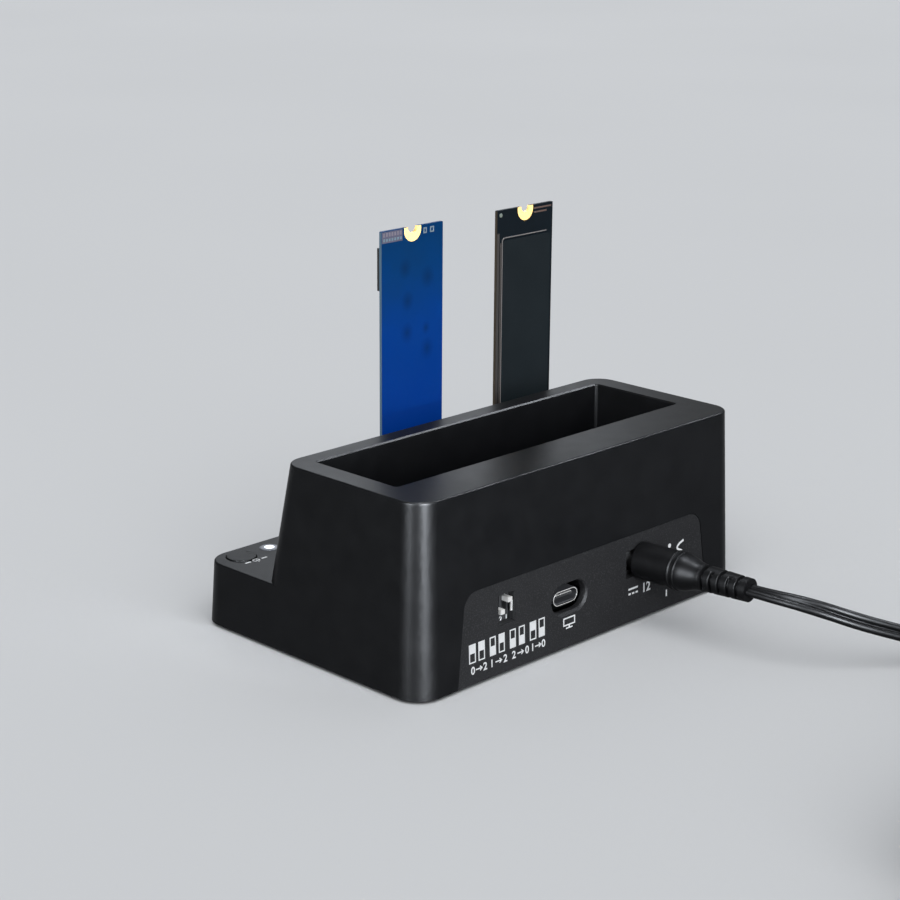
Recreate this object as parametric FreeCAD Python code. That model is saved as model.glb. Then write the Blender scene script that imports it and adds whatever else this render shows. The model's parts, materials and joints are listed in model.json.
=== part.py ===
# Desk dock for one 3.5 inch drive and two M.2 cards, with its power lead plugged in.
# Millimetres. +Z is up, +Y is the side with the sockets, -Y is the side with the buttons.
# The origin is the middle of the case's footprint, on the surface that the dock stands on.
import FreeCAD, Part

import math
import os

from FreeCAD import Placement, Rotation, Vector

# Case: the outside at its lower edge, and how its walls lean in
case_width = 120.7
case_depth = 79.0
case_height = 47.7
foot_stand = 0.8
deck_height = 16.2
tower_depth = 47.25
side_draft = 2.3
front_draft = 3.8
tower_front_draft = 12.0
corner_radius = 7.0
corner_radius_at_top = 6.0
edge_fillet = 0.5
wall = 2.2
deck_wall = 2.0

# Drive bay in the top of the tower
bay_length = 103.4
bay_width = 27.85
bay_floor_height = 14.5
bay_from_rear = 15.98
bay_wall = 1.8
bay_floor = 1.6
bay_corner = 0.8
bay_chamfer = 0.35

# Rear panel, set into the rear wall
panel_half_width = 47.0
panel_height = 23.0
panel_side_lean = 7.6
panel_corner = 4.5
panel_thickness = 2.1
panel_inset = 0.12
panel_gap = 0.12
panel_clearance = 0.1
panel_lip = 1.3
panel_lip_thickness = 0.9

# Base cover, feet and the screws that hold it
base_thickness = 2.0
base_gap = 0.15
foot_diameter = 9.0
foot_recess = 0.8
foot_from_side = 11.35
foot_from_front = 11.5
foot_from_rear = 21.5
foot_rim = 0.3
post_radius = 2.8
rear_post_from_side = 9.35
rear_post_from_rear = 8.9
front_post_from_side = 33.35
front_post_from_front = 7.9
post_rib = 1.4
screw_head_radius = 2.2
screw_head_height = 1.1
screw_radius = 1.2
screw_length = 8.0
thread_gap = 0.05

# Circuit board on its standoffs
board_height = 10.6
board_thickness = 1.6
board_gap = 0.6
board_rear_gap = 0.45
board_corner = 4.5
board_post_gap = 0.4
standoff_radius = 2.6
standoff_from_side = 15.35
standoff_front_from_front = 28.5
standoff_rear_from_rear = 10.5
board_screw_length = 5.0

# Drive receptacle that stands up through the bay floor
receptacle_x = -17.5
receptacle_from_bay_wall = 4.9
receptacle_length = 42.0
receptacle_depth = 7.4
receptacle_shoulder = 5.4
receptacle_nose_length = 33.4
receptacle_nose_depth = 4.8
receptacle_nose_height = 5.0
receptacle_slot = 1.4
receptacle_slot_depth = 4.4
power_slot_length = 20.6
data_slot_length = 10.3
floor_hole_gap = 0.3

# M.2 cards, the sockets that hold them and the collars round the sockets
card_width = 22.0
card_length = 80.0
card_thickness = 0.8
card_tongue_width = 19.85
card_tongue_height = 4.1
card_notch_radius = 1.75
label_thickness = 0.2
label_top_margin = 8.4
label_left_margin = 1.0
label_right_margin = 1.9
label_bottom = 7.0
card_key_offset = 6.1
card_key_width = 1.2
card_key_height = 3.5
socket_key_width = 0.8
socket_key_height = 3.2
card_insertion = 3.8
card_play = 0.3
card_corner = 0.3
card_1_x = 3.7
card_2_from_side = 21.55
card_from_tower = 4.04
memory_thickness = 1.1
card_1_chips = [
    (70.1, 3.7, 14.0, 11.0),
    (50.5, 1.2, 14.0, 18.0),
    (26.0, 0.0, 12.0, 12.0),
]
card_2_chips = [
    (64.0, 0.0, 14.0, 18.0),
    (43.5, 0.0, 14.0, 18.0),
    (27.5, 2.5, 11.0, 8.0),
    (16.0, -1.0, 11.0, 11.0),
]
socket_width = 22.4
socket_depth = 5.4
socket_height = 9.7
socket_slot_depth = 4.0
collar_wall = 1.6
collar_height = 4.6
collar_gap = 0.2

# Buttons on the deck, their switches and the lamps beside them
button_from_side = 8.35
button_from_front = 6.8
button_diameter = 7.7
button_gap = 0.2
button_proud = 0.3
button_flange = 0.5
button_pocket_gap = 0.35
button_flange_height = 0.8
button_travel = 0.35
switch_size = 5.2
switch_height = 2.0
plunger_radius = 1.5
lamp_from_button = 9.6
lamp_before_button = 0.3
lamp_diameter = 4.0
progress_lamp_diameter = 2.2
progress_lamp_spacing = 8.0
progress_lamp_count = 4
lamp_gap = 0.1
lamp_proud = 0.05
lamp_chip_height = 1.1

# Mode switch with two small sliders behind its window
mode_x = 29.85
mode_z = 15.85
mode_window_width = 5.9
mode_window_height = 7.7
mode_body_width = 6.9
mode_body_depth = 4.4
mode_body_margin = 0.9
slider_pitch = 2.54
slider_width = 1.4
slider_height = 1.15
slider_depth = 1.5
slider_proud = 2.1
slider_shift = -0.2
slider_travel = 2.6
slider_gap = 0.25

# USB-C socket and its hole in the panel
usb_x = 7.3
usb_z = 12.7
usb_setback = 1.4
usb_hole_width = 12.6
usb_hole_height = 7.5
usb_hole_chamfer = 0.45
usb_shell_width = 8.94
usb_shell_height = 3.26
usb_shell_wall = 0.3
usb_shell_length = 7.3
usb_tongue_width = 6.7
usb_tongue_height = 0.7
usb_tongue_setback = 0.8
usb_leg = 0.8

# Power jack and its window in the panel
jack_x = -19.4
jack_z = 15.4
jack_window_width = 10.0
jack_window_height = 7.3
jack_width = 9.6
jack_top_margin = 4.2
jack_length = 11.0
jack_bore = 6.5
jack_bore_depth = 9.6
jack_pin_diameter = 1.8
jack_pin_length = 8.4

# Parts soldered to the board: the chips' places along x and from the bay's front, their square
# sizes, and the taller parts
controllers = [(24.0, 8.33, 10.0), (-30.0, -5.27, 6.0), (6.0, -5.27, 6.0)]
controller_height = 1.2
inductor_places = [-20.0, -11.5]
inductor_size = 7.0
inductor_height = 3.0
inductor_from_bay = 1.4
inductor_corner = 1.0
capacitor_places = [-7.5, 17.5]
capacitor_from_rear = 9.0
capacitor_radius = 3.15
capacitor_height = 7.7
crystal_x = 35.6
crystal_from_bay_front = 8.58
crystal_length = 3.2
crystal_width = 2.5
crystal_height = 0.8
crystal_corner = 0.4

# Power plug: its place in the jack, and its lean from being pulled sideways
plug_face_from_wall = 0.37
plug_yaw = 2.6
plug_lift = 0.3
plug_rise_in_jack = 0.3
plug_shift_in_jack = -0.15
barrel_diameter = 5.5
barrel_bore = 2.8
barrel_length = 9.5
grip_radius = 4.83
grip_length = 11.0
grip_rib = 0.25
grip_rib_width = 0.4
grip_rib_slope = 0.1
grip_rib_pitch = 1.6
bell_end_radius = 3.45
bell_length = 6.15
relief_radius = 3.4
relief_tip_radius = 3.0
relief_core_radius = 2.3
relief_length = 13.7
relief_slits = 5
relief_first_slit = 0.6
relief_pitch = 2.55
relief_slit = 1.0
relief_slit_angle = 220
relief_slit_middles = [270, 90]

# Power lead: 1.2 m of flat twin lead, laid from the plug to a coil and on to the wall adapter
lead_width = 4.1
lead_start_gap = 0.05
lead_route = [
    (-21.6, 78.8, 16.8),
    (-23.0, 85.5, 16.6),
    (-26.1, 91.8, 15.3),
    (-30.8, 97.2, 13.0),
    (-36.6, 101.9, 10.6),
    (-43.4, 106.6, 8.0),
    (-50.6, 112.0, 5.2),
    (-58.0, 117.6, 3.0),
    (-65.6, 123.6, 2.25),
]
tail_route = [
    (-68.3, 163.6, 6.4),
    (-61.2, 170.7, 6.0),
    (-53.4, 178.0, 4.9),
    (-44.2, 184.3, 5.6),
    (-34.4, 188.2, 7.4),
    (-24.0, 189.2, 8.0),
]
coil_x = -49.45
coil_y = 144.75
coil_inner_radius = 19.1
coil_outer_radius = 27.7
coil_height = 8.5

# Wall adapter at the lead's far end
adapter_length = 62.0
adapter_width = 40.0
adapter_height = 28.0
adapter_corner = 5.0
adapter_relief_length = 12.0
adapter_relief_radius = 3.2
blade_length = 16.0
blade_width = 6.3
blade_thickness = 1.5
blade_spacing = 12.7
blade_hole = 3.1
blade_hole_from_end = 4.0

os.makedirs("parts", exist_ok=True)

# Levels and faces that several pieces share
edge_z = foot_stand
deck_z = edge_z + deck_height
top_z = edge_z + case_height
base_top = edge_z + base_thickness
board_top = edge_z + board_height
board_bottom = board_top - board_thickness
deck_underside = deck_z - deck_wall
side_lean = math.tan(math.radians(side_draft))
front_lean = math.tan(math.radians(front_draft))
tower_lean = math.tan(math.radians(tower_front_draft))
rear_top_y = case_depth / 2 - case_height * side_lean
tower_front_top_y = rear_top_y - tower_depth
tower_foot_y = tower_front_top_y - (case_height - deck_height) * tower_lean
card_2_x = card_2_from_side - case_width / 2
card_y = tower_foot_y - card_from_tower
bay_rear = case_depth / 2 - bay_from_rear
bay_front = bay_rear - bay_width
rear_post_x = case_width / 2 - rear_post_from_side
rear_post_y = case_depth / 2 - rear_post_from_rear
front_post_x = case_width / 2 - front_post_from_side
front_post_y = -case_depth / 2 + front_post_from_front
button_x = case_width / 2 - button_from_side
button_y = -case_depth / 2 + button_from_front
lamp_x = button_x - lamp_from_button
lamp_y = button_y - lamp_before_button
board_half_width = case_width / 2 - wall - board_gap - board_height * side_lean
board_front = -case_depth / 2 + wall + board_gap + board_height * front_lean
bay_floor_z = edge_z + bay_floor_height
receptacle_y = bay_rear - receptacle_from_bay_wall


def rear_wall_y(z):
    """Outer face of the rear wall at a height over the desk."""
    return case_depth / 2 - (z - edge_z) * side_lean


def box(x0, x1, y0, y1, z0, z1):
    """Block between two opposite corners."""
    return Part.makeBox(x1 - x0, y1 - y0, z1 - z0, Vector(x0, y0, z0))


def centred_box(x, y, width, depth, z0, z1):
    """Block round a vertical line."""
    return box(x - width / 2, x + width / 2, y - depth / 2, y + depth / 2, z0, z1)


def cylinder(x, y, z0, z1, radius):
    """Upright round bar."""
    return Part.makeCylinder(radius, z1 - z0, Vector(x, y, z0))


def cylinder_along_y(x, z, y0, y1, radius):
    """Round bar along +Y."""
    return Part.makeCylinder(radius, y1 - y0, Vector(x, y0, z), Vector(0, 1, 0))


def fused(shapes):
    """One solid of several that meet or overlap."""
    return shapes[0].multiFuse(shapes[1:]).removeSplitter()


def rounded_wire(points, radii):
    """Closed outline through the points, with an arc of the given radius at each."""
    corners = [Vector(*p) for p in points]
    starts = []
    ends = []
    middles = []
    for i, corner in enumerate(corners):
        before = (corners[i - 1] - corner).normalize()
        after = (corners[(i + 1) % len(corners)] - corner).normalize()
        half = before.getAngle(after) / 2
        reach = radii[i] / math.tan(half)
        bisector = (before + after).normalize()
        centre = corner + bisector * (radii[i] / math.sin(half))
        starts.append(corner + before * reach)
        ends.append(corner + after * reach)
        middles.append(centre - bisector * radii[i])
    edges = []
    for i, start in enumerate(starts):
        if radii[i] > 0:
            edges.append(Part.Arc(start, middles[i], ends[i]).toShape())
        edges.append(Part.LineSegment(ends[i], starts[(i + 1) % len(starts)]).toShape())
    return Part.Wire(edges)


def rectangle_wire(x0, x1, y0, y1, z, radius):
    """Level rectangle with rounded corners."""
    points = [(x0, y0, z), (x1, y0, z), (x1, y1, z), (x0, y1, z)]
    return rounded_wire(points, [radius] * 4)


def rounded_block(x0, x1, y0, y1, z0, z1, radius):
    """Upright block with rounded vertical edges."""
    face = Part.Face(rectangle_wire(x0, x1, y0, y1, z0, radius))
    return face.extrude(Vector(0, 0, z1 - z0))


def prism_along_y(points, radii, y0, y1):
    """Block with an outline given as x and z, from y0 to y1."""
    face = Part.Face(rounded_wire([(x, y0, z) for x, z in points], radii))
    return face.extrude(Vector(0, y1 - y0, 0))


def slot_points(x, z, width, height):
    """Corners of an upright rectangle, as x and z."""
    return [
        (x - width / 2, z - height / 2),
        (x + width / 2, z - height / 2),
        (x + width / 2, z + height / 2),
        (x - width / 2, z + height / 2),
    ]


def stadium_wire(x, z, width, height, y):
    """Upright outline with round ends."""
    points = [(px, y, pz) for px, pz in slot_points(x, z, width, height)]
    return rounded_wire(points, [height / 2 - 0.01] * 4)


def stadium_along_y(x, z, width, height, y0, y1):
    """Bar with round ends, from y0 to y1."""
    return Part.Face(stadium_wire(x, z, width, height, y0)).extrude(Vector(0, y1 - y0, 0))


def turned(profile, axis_point, axis):
    """Solid of revolution from (distance along, radius) points that start and end on the axis."""
    points = [Vector(radius, 0, along) for along, radius in profile]
    edges = [Part.LineSegment(a, b).toShape() for a, b in zip(points, points[1:] + points[:1])]
    solid = Part.Face(Part.Wire(edges)).revolve(Vector(0, 0, 0), Vector(0, 0, 1), 360)
    solid.Placement = Placement(axis_point, Rotation(Vector(0, 0, 1), axis))
    return solid


def filleted_top(solid, z, radius):
    """The solid with its outline at height z rounded over."""
    loop = [e for e in solid.Edges if all(abs(v.Z - z) < 0.001 for v in e.Vertexes)]
    return solid.makeFillet(radius, loop)


nodes = {}

# Case: a tower lofted over its whole height, and a lower deck block in front of it


def corner_at(height, inset):
    """Radius of the upright corners at a height over the lower edge."""
    taper = (corner_radius - corner_radius_at_top) / case_height
    return max(corner_radius - height * taper - inset, 1.0)


def case_wire(height, front_y, inset):
    """Outline of the case at a height over the lower edge, moved in by an inset."""
    half = case_width / 2 - height * side_lean - inset
    rear = case_depth / 2 - height * side_lean - inset
    return rectangle_wire(
        -half, half, front_y + inset, rear, edge_z + height, corner_at(height, inset)
    )


def tower_front(height):
    """Outer face of the tower's front wall."""
    return tower_front_top_y - (case_height - height) * tower_lean


def deck_front(height):
    """Outer face of the low front wall."""
    return -case_depth / 2 + height * front_lean


def tower_solid(low, high, inset):
    """The tower's form between two heights, with all its walls moved in by an inset."""
    wires = [case_wire(h, tower_front(h), inset) for h in (low, high)]
    return Part.makeLoft(wires, True, True)


def deck_solid(low, high, inset):
    """The deck block's form between two heights, over the whole depth of the case."""
    wires = [case_wire(h, deck_front(h), inset) for h in (low, high)]
    return Part.makeLoft(wires, True, True)


def front_part(solid):
    """The stretch of a solid from the front to the middle of the tower."""
    middle = (tower_front_top_y + rear_top_y) / 2
    return solid.common(
        box(-case_width, case_width, -case_depth, middle, -case_height, 2 * case_height)
    )


tower = filleted_top(tower_solid(0, case_height, 0), top_z, edge_fillet)
deck = filleted_top(deck_solid(0, deck_height, 0), deck_z, edge_fillet)
case_form = fused([tower, front_part(deck)])
below = -1.0
tower_hollow = tower_solid(below, case_height - wall, wall)
deck_hollow = deck_solid(below, deck_height - deck_wall, wall)
shell = case_form.cut(fused([tower_hollow, front_part(deck_hollow)]))

bay_outside = rounded_block(
    -bay_length / 2 - bay_wall,
    bay_length / 2 + bay_wall,
    bay_front - bay_wall,
    bay_rear + bay_wall,
    bay_floor_z - bay_floor,
    top_z - wall / 2,
    bay_corner + bay_wall,
)
bay_hollow = rounded_block(
    -bay_length / 2, bay_length / 2, bay_front, bay_rear, bay_floor_z, top_z + wall, bay_corner
)
bay_mouth = Part.makeLoft(
    [
        rectangle_wire(
            -bay_length / 2 - grow,
            bay_length / 2 + grow,
            bay_front - grow,
            bay_rear + grow,
            top_z - bay_chamfer + grow,
            bay_corner + grow,
        )
        for grow in (0.0, 2 * bay_chamfer)
    ],
    True,
    True,
)

post_places = [
    (rear_post_x, rear_post_y),
    (-rear_post_x, rear_post_y),
    (front_post_x, front_post_y),
    (-front_post_x, front_post_y),
]
rear_posts = [
    cylinder(x, y, base_top, top_z - wall / 2, post_radius) for x, y in post_places if y > 0
]
front_posts = [
    cylinder(x, y, base_top, deck_z - deck_wall / 2, post_radius) for x, y in post_places if y < 0
]
rear_ribs = [
    box(x - post_rib / 2, x + post_rib / 2, y, case_depth / 2, board_top + 1, top_z - wall / 2)
    for x, y in post_places
    if y > 0
]
rear_ribs = [r.common(case_form) for r in rear_ribs]

cards = {1: card_1_x, 2: card_2_x}
collars = [
    rounded_block(
        x - socket_width / 2 - collar_gap - collar_wall,
        x + socket_width / 2 + collar_gap + collar_wall,
        card_y - socket_depth / 2 - collar_gap - collar_wall,
        card_y + socket_depth / 2 + collar_gap + collar_wall,
        deck_z - deck_wall / 2,
        deck_z + collar_height,
        collar_wall,
    )
    for x in cards.values()
]
shell = fused([shell, bay_outside] + rear_posts + front_posts + rear_ribs + collars)

shell_cuts = [bay_hollow, bay_mouth]
shell_cuts.append(
    centred_box(
        receptacle_x,
        receptacle_y,
        receptacle_length + 2 * floor_hole_gap,
        receptacle_depth + 2 * floor_hole_gap,
        bay_floor_z - 2 * bay_floor,
        bay_floor_z + bay_floor,
    )
)
for x in cards.values():
    shell_cuts.append(
        centred_box(
            x,
            card_y,
            socket_width + 2 * collar_gap,
            socket_depth + 2 * collar_gap,
            deck_underside - deck_wall,
            deck_z + 2 * collar_height,
        )
    )
buttons = {"power": button_x, "copy": -button_x}
for x in buttons.values():
    hole_radius = button_diameter / 2 + button_gap
    shell_cuts.append(cylinder(x, button_y, deck_underside - 1, deck_z + 1, hole_radius))
    pocket_radius = button_diameter / 2 + button_flange + button_pocket_gap
    shell_cuts.append(cylinder(x, button_y, base_top, deck_underside, pocket_radius))
progress_lamps = [
    (i - (progress_lamp_count - 1) / 2) * progress_lamp_spacing for i in range(progress_lamp_count)
]
lamps = [(lamp_x, lamp_diameter / 2)] + [(x, progress_lamp_diameter / 2) for x in progress_lamps]
for x, radius in lamps:
    shell_cuts.append(cylinder(x, lamp_y, deck_underside - 1, deck_z + 1, radius + lamp_gap))
for x, y in post_places:
    shell_cuts.append(
        cylinder(x, y, base_top - 1, base_top + screw_length, screw_radius + thread_gap)
    )

# Opening for the rear panel, drawn on the leaning rear wall


def on_rear_wall(shape):
    """Stand a shape drawn on an upright wall at y = 0 against the leaning rear wall."""
    lean = Rotation(Vector(1, 0, 0), side_draft)
    shape.Placement = Placement(Vector(0, case_depth / 2, edge_z), lean)
    return shape


def panel_prism(grow, low, high, depth0, depth1):
    """Block with the panel's outline, moved out by grow, between two depths behind the wall."""
    lean = math.tan(math.radians(panel_side_lean))
    bottom = panel_half_width + grow - low * lean
    top = panel_half_width + grow - (high + grow) * lean
    points = [(-bottom, low), (bottom, low), (top, high + grow), (-top, high + grow)]
    radii = [0, 0, panel_corner + grow, panel_corner + grow]
    return prism_along_y(points, radii, -depth1, -depth0)


panel_opening = panel_prism(panel_gap, -2.0, panel_height, -2.0, wall + 2.0)
shell_cuts.append(on_rear_wall(panel_opening))
nodes["case_shell"] = shell.cut(Part.makeCompound(shell_cuts))

# Rear panel: a plate in the opening with a lip that bears on the inside of the wall
lip_front = wall + 0.1
lip_back = lip_front + panel_lip_thickness
lip_low = base_thickness + 0.8
plate = panel_prism(0, 0, panel_height, panel_inset, panel_inset + panel_thickness)
lip_outside = panel_prism(panel_lip, lip_low, panel_height, lip_front, lip_back)
bridge = panel_prism(-0.1, lip_low, panel_height, panel_inset + panel_thickness / 2, lip_back)
lip_hollow = panel_prism(-1.5, 0, panel_height, panel_inset + panel_thickness, lip_back + 1)
panel_frame = fused([lip_outside, bridge]).cut(lip_hollow)
panel = on_rear_wall(fused([plate, panel_frame]))

hole_front = rear_wall_y(edge_z) + 1.0
hole_back = rear_wall_y(top_z) - 3 * wall
usb_hole = stadium_along_y(
    usb_x, edge_z + usb_z, usb_hole_width, usb_hole_height, hole_back, hole_front
)
usb_face_y = rear_wall_y(edge_z + usb_z) - panel_inset
usb_countersink = Part.makeLoft(
    [
        stadium_wire(
            usb_x,
            edge_z + usb_z,
            usb_hole_width + 2 * grow,
            usb_hole_height + 2 * grow,
            usb_face_y - usb_hole_chamfer + grow,
        )
        for grow in (0.0, 2 * usb_hole_chamfer)
    ],
    True,
    True,
)
mode_window = prism_along_y(
    slot_points(mode_x, edge_z + mode_z, mode_window_width, mode_window_height),
    [0.4] * 4,
    hole_back,
    hole_front,
)
jack_window = prism_along_y(
    slot_points(jack_x, edge_z + jack_z, jack_window_width, jack_window_height),
    [0.5] * 4,
    hole_back,
    hole_front,
)
nodes["rear_panel"] = panel.cut(
    Part.makeCompound([usb_hole, usb_countersink, mode_window, jack_window])
)


def behind_panel(z):
    """Place of a socket's upright face that stays clear of the leaning panel up to height z."""
    return rear_wall_y(z) - panel_inset - panel_thickness - panel_clearance


# Base cover: a plate inside the lower edge, with standoffs for the board
base_half = case_width / 2 - wall - base_gap - base_thickness * side_lean
base_rear = case_depth / 2 - panel_inset - panel_thickness - base_gap - base_thickness * side_lean
base_front = -case_depth / 2 + wall + base_gap + base_thickness * front_lean
base = rounded_block(
    -base_half,
    base_half,
    base_front,
    base_rear,
    edge_z,
    base_top,
    corner_at(0, wall + base_gap),
)
board_rear = rear_wall_y(board_top) - lip_back - board_rear_gap
standoff_x = case_width / 2 - standoff_from_side
standoff_front_y = -case_depth / 2 + standoff_front_from_front
standoff_rear_y = case_depth / 2 - standoff_rear_from_rear
board_posts = [
    (x, y) for x in (-standoff_x, standoff_x) for y in (standoff_front_y, standoff_rear_y)
]
standoffs = [
    cylinder(x, y, base_top - 0.5, board_bottom, standoff_radius) for x, y in board_posts
]
base = fused([base] + standoffs)
base_cuts = []
for x, y in board_posts:
    pilot = board_top - board_screw_length
    base_cuts.append(cylinder(x, y, pilot, board_top, screw_radius + thread_gap))
for x, y in post_places:
    base_cuts.append(cylinder(x, y, 0, base_top + 1, screw_radius + 2 * thread_gap))
    head_room = edge_z + screw_head_height + 0.1
    base_cuts.append(cylinder(x, y, 0, head_room, screw_head_radius + 0.2))
foot_x = case_width / 2 - foot_from_side
foot_ends = (-case_depth / 2 + foot_from_front, case_depth / 2 - foot_from_rear)
foot_places = [(x, y) for x in (-foot_x, foot_x) for y in foot_ends]
for x, y in foot_places:
    base_cuts.append(cylinder(x, y, 0, edge_z + foot_recess, foot_diameter / 2 + 0.1))
nodes["base_cover"] = base.cut(Part.makeCompound(base_cuts))


def rubber_foot(x, y):
    """Round foot with its lower rim rounded over."""
    disc = cylinder(x, y, 0, edge_z + foot_recess, foot_diameter / 2)
    rim = [e for e in disc.Edges if e.BoundBox.ZMax < 0.001]
    return disc.makeFillet(foot_rim, rim)


nodes["rubber_feet"] = Part.makeCompound([rubber_foot(x, y) for x, y in foot_places])


def screw(x, y, seat_z, length, upward):
    """Pan head screw whose head rests on seat_z, with its shank going up or down."""
    way = 1 if upward else -1
    head = [seat_z - way * screw_head_height, seat_z]
    shank = [seat_z, seat_z + way * length]
    drive = [head[0], head[0] + way * screw_head_height * 0.6]
    body = fused(
        [
            cylinder(x, y, min(head), max(head), screw_head_radius),
            cylinder(x, y, min(shank), max(shank), screw_radius),
        ]
    )
    cross = [
        centred_box(x, y, 2.4, 0.6, min(drive), max(drive)),
        centred_box(x, y, 0.6, 2.4, min(drive), max(drive)),
    ]
    return body.cut(Part.makeCompound(cross))


case_screw_seat = edge_z + screw_head_height + 0.1
nodes["case_screws"] = Part.makeCompound(
    [screw(x, y, case_screw_seat, screw_length, True) for x, y in post_places]
)

# Circuit board, clear of the case's posts
board = rounded_block(
    -board_half_width,
    board_half_width,
    board_front,
    board_rear,
    board_bottom,
    board_top,
    board_corner,
)
board_cuts = [
    cylinder(x, y, board_bottom - 1, board_top + 1, post_radius + board_post_gap) for x, y in post_places
]
board_cuts += [
    cylinder(x, y, board_bottom - 1, board_top + 1, screw_radius + 0.2) for x, y in board_posts
]
nodes["main_board"] = board.cut(Part.makeCompound(board_cuts))
nodes["board_screws"] = Part.makeCompound(
    [screw(x, y, board_top, board_screw_length, False) for x, y in board_posts]
)

# Drive receptacle: a wide foot on the board, and a nose with two slots in the bay
shoulder_z = board_top + receptacle_shoulder
nose_z = shoulder_z + receptacle_nose_height
receptacle = fused(
    [
        centred_box(
            receptacle_x, receptacle_y, receptacle_length, receptacle_depth, board_top, shoulder_z
        ),
        centred_box(
            receptacle_x,
            receptacle_y,
            receptacle_nose_length,
            receptacle_nose_depth,
            shoulder_z - 1,
            nose_z,
        ),
    ]
)
slot_margin = (receptacle_nose_length - power_slot_length - data_slot_length) / 3
power_slot_x = (
    receptacle_x - receptacle_nose_length / 2 + slot_margin + power_slot_length / 2
)
data_slot_x = (
    receptacle_x + receptacle_nose_length / 2 - slot_margin - data_slot_length / 2
)
receptacle_cuts = []
contact_rows = []
for slot_x, slot_length, count in (
    (power_slot_x, power_slot_length, 15),
    (data_slot_x, data_slot_length, 7),
):
    slot_floor = nose_z - receptacle_slot_depth
    receptacle_cuts.append(
        centred_box(slot_x, receptacle_y, slot_length, receptacle_slot, slot_floor, nose_z + 1)
    )
    hook_x = slot_x - slot_length / 2 + receptacle_slot / 2
    receptacle_cuts.append(
        box(
            hook_x - receptacle_slot / 2,
            hook_x + receptacle_slot / 2,
            receptacle_y,
            receptacle_y + 1.9,
            slot_floor,
            nose_z + 1,
        )
    )
    for i in range(count):
        x = slot_x + (i - (count - 1) / 2) * (slot_length - 2.4) / (count - 1)
        contact_rows.append(
            box(
                x - 0.25,
                x + 0.25,
                receptacle_y - receptacle_slot / 2,
                receptacle_y - receptacle_slot / 2 + 0.2,
                slot_floor,
                nose_z - 0.6,
            )
        )
nodes["drive_receptacle"] = receptacle.cut(Part.makeCompound(receptacle_cuts))
nodes["drive_contacts"] = Part.makeCompound(contact_rows)

# M.2 sockets, each with a slot and a rib for the card's key notch
socket_top = board_top + socket_height
card_bottom = socket_top - card_insertion
card_slot = card_thickness + 2 * card_play
contact_pitch = 0.5
socket_contacts = []
for number, x in cards.items():
    body = centred_box(x, card_y, socket_width, socket_depth, board_top, socket_top)
    slot = centred_box(
        x,
        card_y,
        card_tongue_width + 2 * card_play,
        card_slot,
        socket_top - socket_slot_depth,
        socket_top + 1,
    )
    key_x = x + card_key_offset
    slot_floor = socket_top - socket_slot_depth
    key_rib = centred_box(
        key_x,
        card_y,
        socket_key_width,
        socket_depth - 1,
        slot_floor - 1,
        slot_floor + socket_key_height,
    )
    nodes[f"m2_socket_{number}"] = fused([body.cut(slot), key_rib])
    for i in range(-18, 19):
        contact_x = x + i * contact_pitch
        if abs(contact_x - key_x) < socket_key_width:
            continue
        for side in (-1, 1):
            y = card_y + side * (card_slot / 2 - 0.06)
            socket_contacts.append(
                centred_box(
                    contact_x, y, 0.24, 0.12, slot_floor, socket_top - 0.4
                )
            )
nodes["m2_contacts"] = Part.makeCompound(socket_contacts)

# M.2 cards: an upright board with a tongue, a key notch and a half round notch at its top


def card_board(x):
    """Bare board of one card, standing in its socket."""
    top = card_bottom + card_length
    shoulder = card_bottom + card_tongue_height
    half = card_width / 2
    tongue = card_tongue_width / 2
    points = [
        (x - tongue, card_bottom),
        (x + tongue, card_bottom),
        (x + tongue, shoulder),
        (x + half, shoulder),
        (x + half, top),
        (x - half, top),
        (x - half, shoulder),
        (x - tongue, shoulder),
    ]
    radii = [card_corner] * 8
    y0 = card_y - card_thickness / 2
    y1 = card_y + card_thickness / 2
    board_solid = prism_along_y(points, radii, y0, y1)
    notch = cylinder_along_y(x, top, y0 - 1, y1 + 1, card_notch_radius)
    key = box(
        x + card_key_offset - card_key_width / 2,
        x + card_key_offset + card_key_width / 2,
        y0 - 1,
        y1 + 1,
        card_bottom - 1,
        card_bottom + card_key_height,
    )
    return board_solid.cut(Part.makeCompound([notch, key]))


def card_chip(x, along, across, width, height, thickness):
    """Chip on the front side of a card, placed from the middle of its lower end."""
    front = card_y - card_thickness / 2
    return box(
        x + across - width / 2,
        x + across + width / 2,
        front - thickness,
        front,
        card_bottom + along - height / 2,
        card_bottom + along + height / 2,
    )


for number, x in cards.items():
    nodes[f"m2_card_{number}_board"] = card_board(x)
nodes["m2_card_1_chips"] = Part.makeCompound(
    [
        card_chip(card_1_x, along, across, width, height, memory_thickness)
        for along, across, width, height in card_1_chips
    ]
)
nodes["m2_card_2_chips"] = Part.makeCompound(
    [
        card_chip(card_2_x, along, across, width, height, memory_thickness)
        for along, across, width, height in card_2_chips
    ]
)
label_face = card_y + card_thickness / 2
label_points = [
    (card_2_x - card_width / 2 + label_left_margin, card_bottom + label_bottom),
    (card_2_x + card_width / 2 - label_right_margin, card_bottom + label_bottom),
    (
        card_2_x + card_width / 2 - label_right_margin,
        card_bottom + card_length - label_top_margin,
    ),
    (
        card_2_x - card_width / 2 + label_left_margin,
        card_bottom + card_length - label_top_margin,
    ),
]
nodes["m2_card_2_heat_sheet"] = prism_along_y(
    label_points, [1.0] * 4, label_face, label_face + label_thickness
)

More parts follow.
